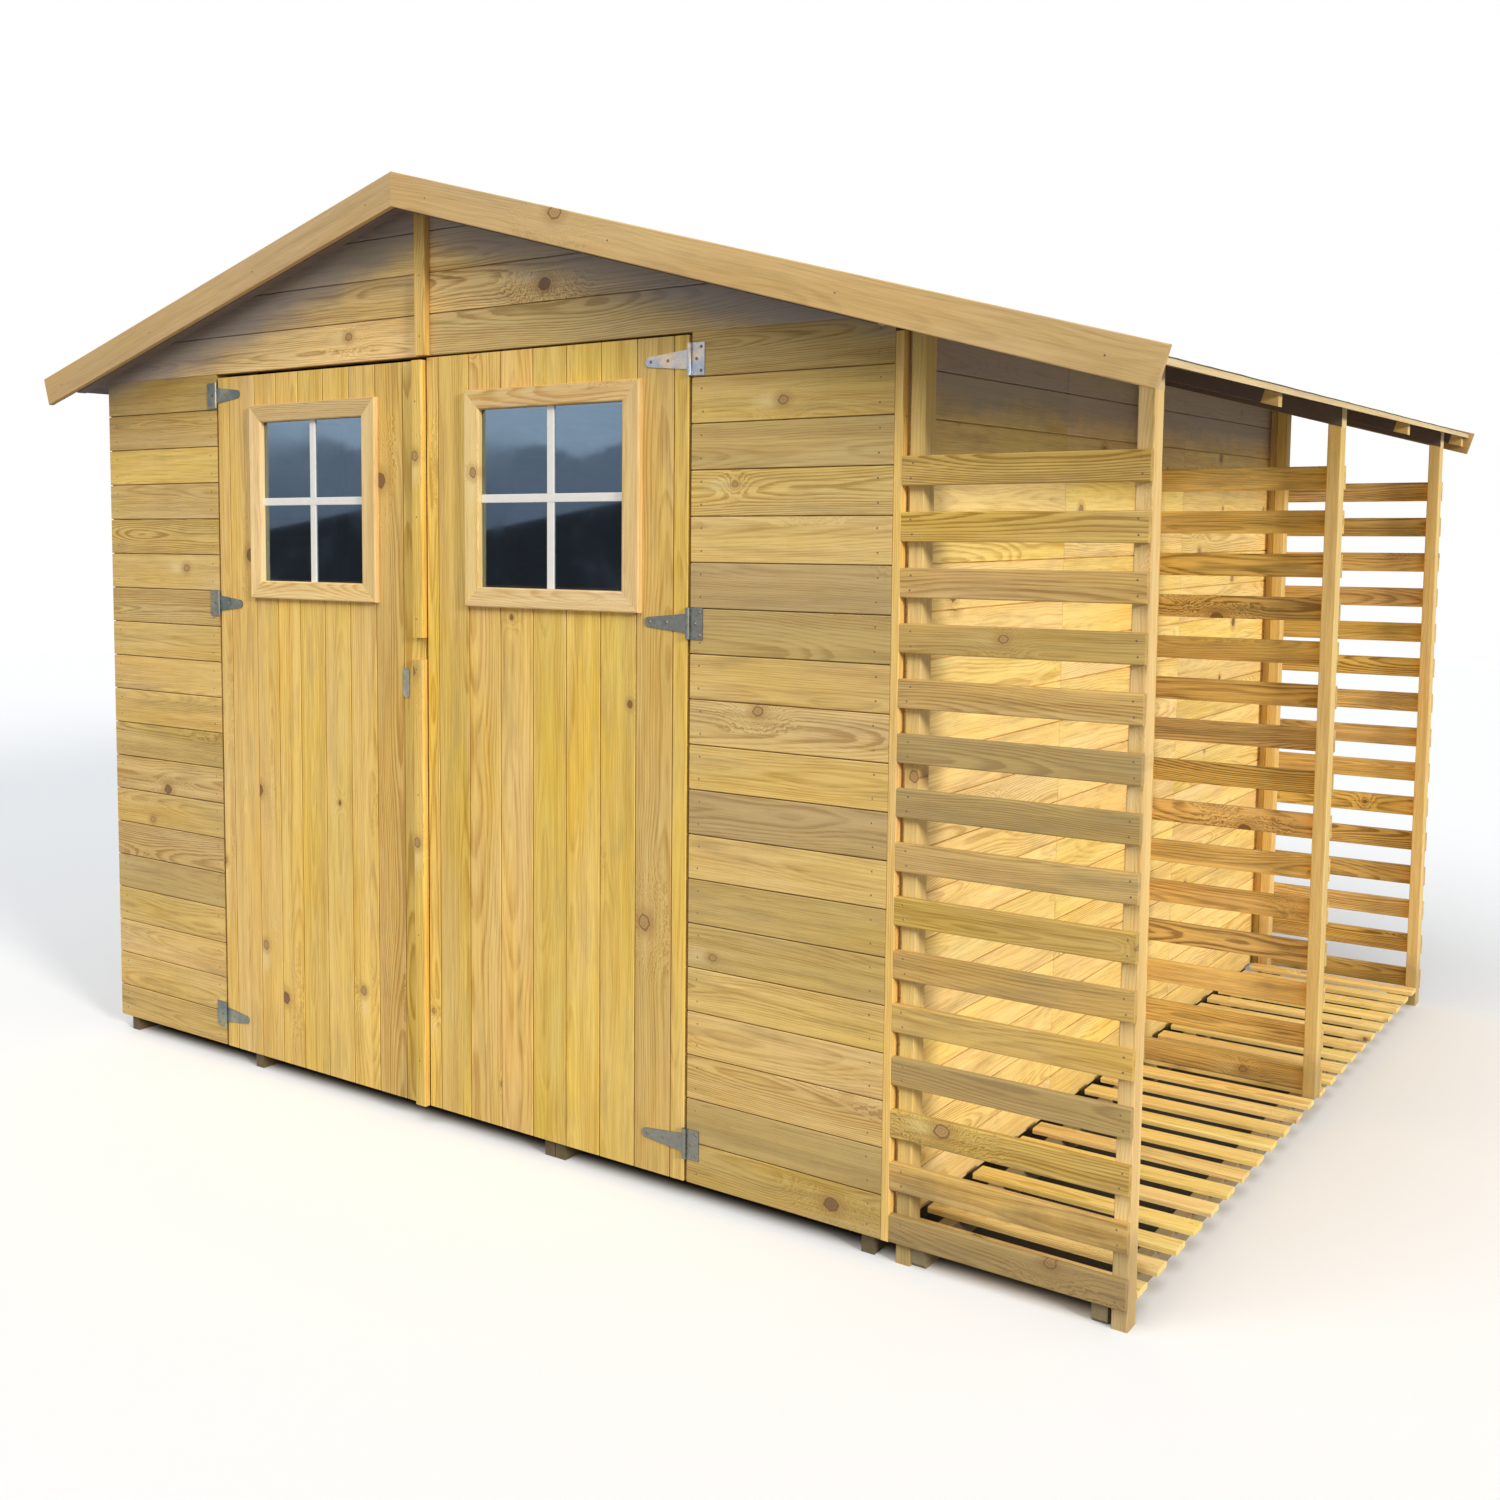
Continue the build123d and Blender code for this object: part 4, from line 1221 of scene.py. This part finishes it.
# %% Surround
world = bpy.data.worlds.new("studio_surround")
bpy.context.scene.world = world
world.use_nodes = True
w = Wiring(world.node_tree)
ray = w.node("LightPath").outputs
seen = w.calc("MAXIMUM", ray["Is Camera Ray"],
              w.calc("MAXIMUM", ray["Is Glossy Ray"], ray["Is Transmission Ray"]))
heading = w.node("TexCoord").outputs["Generated"]
east, north, rise = w.split(heading)
turn = w.calc("ARCTAN2", w.times(east, -1.0), w.times(north, -1.0))
first_roof, roof_spacing, roof_height = 0.8465, 0.1344, 0.028
rooflines = w.calc("FRACT", w.calc("DIVIDE", w.minus(first_roof, turn), roof_spacing))
rooflines = w.scaled(rooflines, roof_height, -0.002)
hills = w.scaled(w.noise(heading, 14.0, 5.0, 0.6), 0.06, 0.015)
clouds = w.noise(heading, 11.0, 4.0, 0.6)
white, hill_grey, roof_dark = (1, 1, 1), (0.40, 0.41, 0.44), (0.06, 0.055, 0.055)
sky = w.mix(w.step(clouds, 0.35, 0.65), (0.88, 0.9, 0.93), white)
sky = w.mix(w.step(w.minus(rise, hills), 0.0, 0.006), hill_grey, sky)
sky = w.mix(w.step(w.minus(rise, rooflines), -0.001, 0.001), roof_dark, sky)
mirrored = w.mix(ray["Is Glossy Ray"], white, sky)
w.fill(world.node_tree.nodes["Background"], {"Color": w.mix(seen, (0.84, 0.92, 1.0), mirrored),
                                             "Strength": w.step(seen, 0.0, 1.0, 0.44, 1.0)})

# %% [markdown]
# Two suns light the building. A low warm one from the right, slightly in front, lights
# the log store and grazes the doors. A broad one from the upper front lights the doors
# and leaves the soft shade under the roof.

# %% Lamps
def sun_lamp(name, toward, energy, angle, colour):
    """A sun in the given direction; its angle sets how soft the shadows are."""
    lamp = bpy.data.lights.new(name, "SUN")
    lamp.energy = energy
    lamp.angle = math.radians(angle)
    lamp.color = colour
    sun = bpy.data.objects.new(name, lamp)
    bpy.context.scene.collection.objects.link(sun)
    sun.rotation_mode = "QUATERNION"
    sun.rotation_quaternion = Vector(toward).to_track_quat("Z", "Y")


sun_lamp("low_sun", (0.9, -0.3, 0.285), 2.3, 12, (1.0, 0.945, 0.85))
sun_lamp("broad_fill", (0.0, -0.58, 0.81), 1.8, 52, (1.0, 0.99, 0.97))

# %% [markdown]
# The camera stands at eye height off the front right corner and looks a little down.
# Its place, lens and shift come from lining the building's corners up with the view.

# %% Camera
camera_data = bpy.data.cameras.new("camera")
camera = bpy.data.objects.new("camera", camera_data)
bpy.context.scene.collection.objects.link(camera)
bpy.context.scene.camera = camera
yaw, tilt = 0.6697, -0.083
ahead = Vector((-math.sin(yaw) * math.cos(tilt), math.cos(yaw) * math.cos(tilt), math.sin(tilt)))
aside = Vector((math.cos(yaw), math.sin(yaw), 0))
eye = Vector((x_left + 3.8027, y_front - 2.8162, z_sill + 1.3952))
camera.matrix_world = turned(eye, aside, aside.cross(ahead), -ahead)
frame_size, focal_length = 1500, 1618.7
centre_across, centre_down = 550.2, 662.4
camera_data.sensor_width = 36
camera_data.lens = focal_length / frame_size * camera_data.sensor_width
camera_data.shift_x = (frame_size / 2 - centre_across) / frame_size
camera_data.shift_y = (centre_down - frame_size / 2) / frame_size
bpy.context.scene.view_settings.view_transform = "Standard"

# %% Measure and finish
low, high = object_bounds()
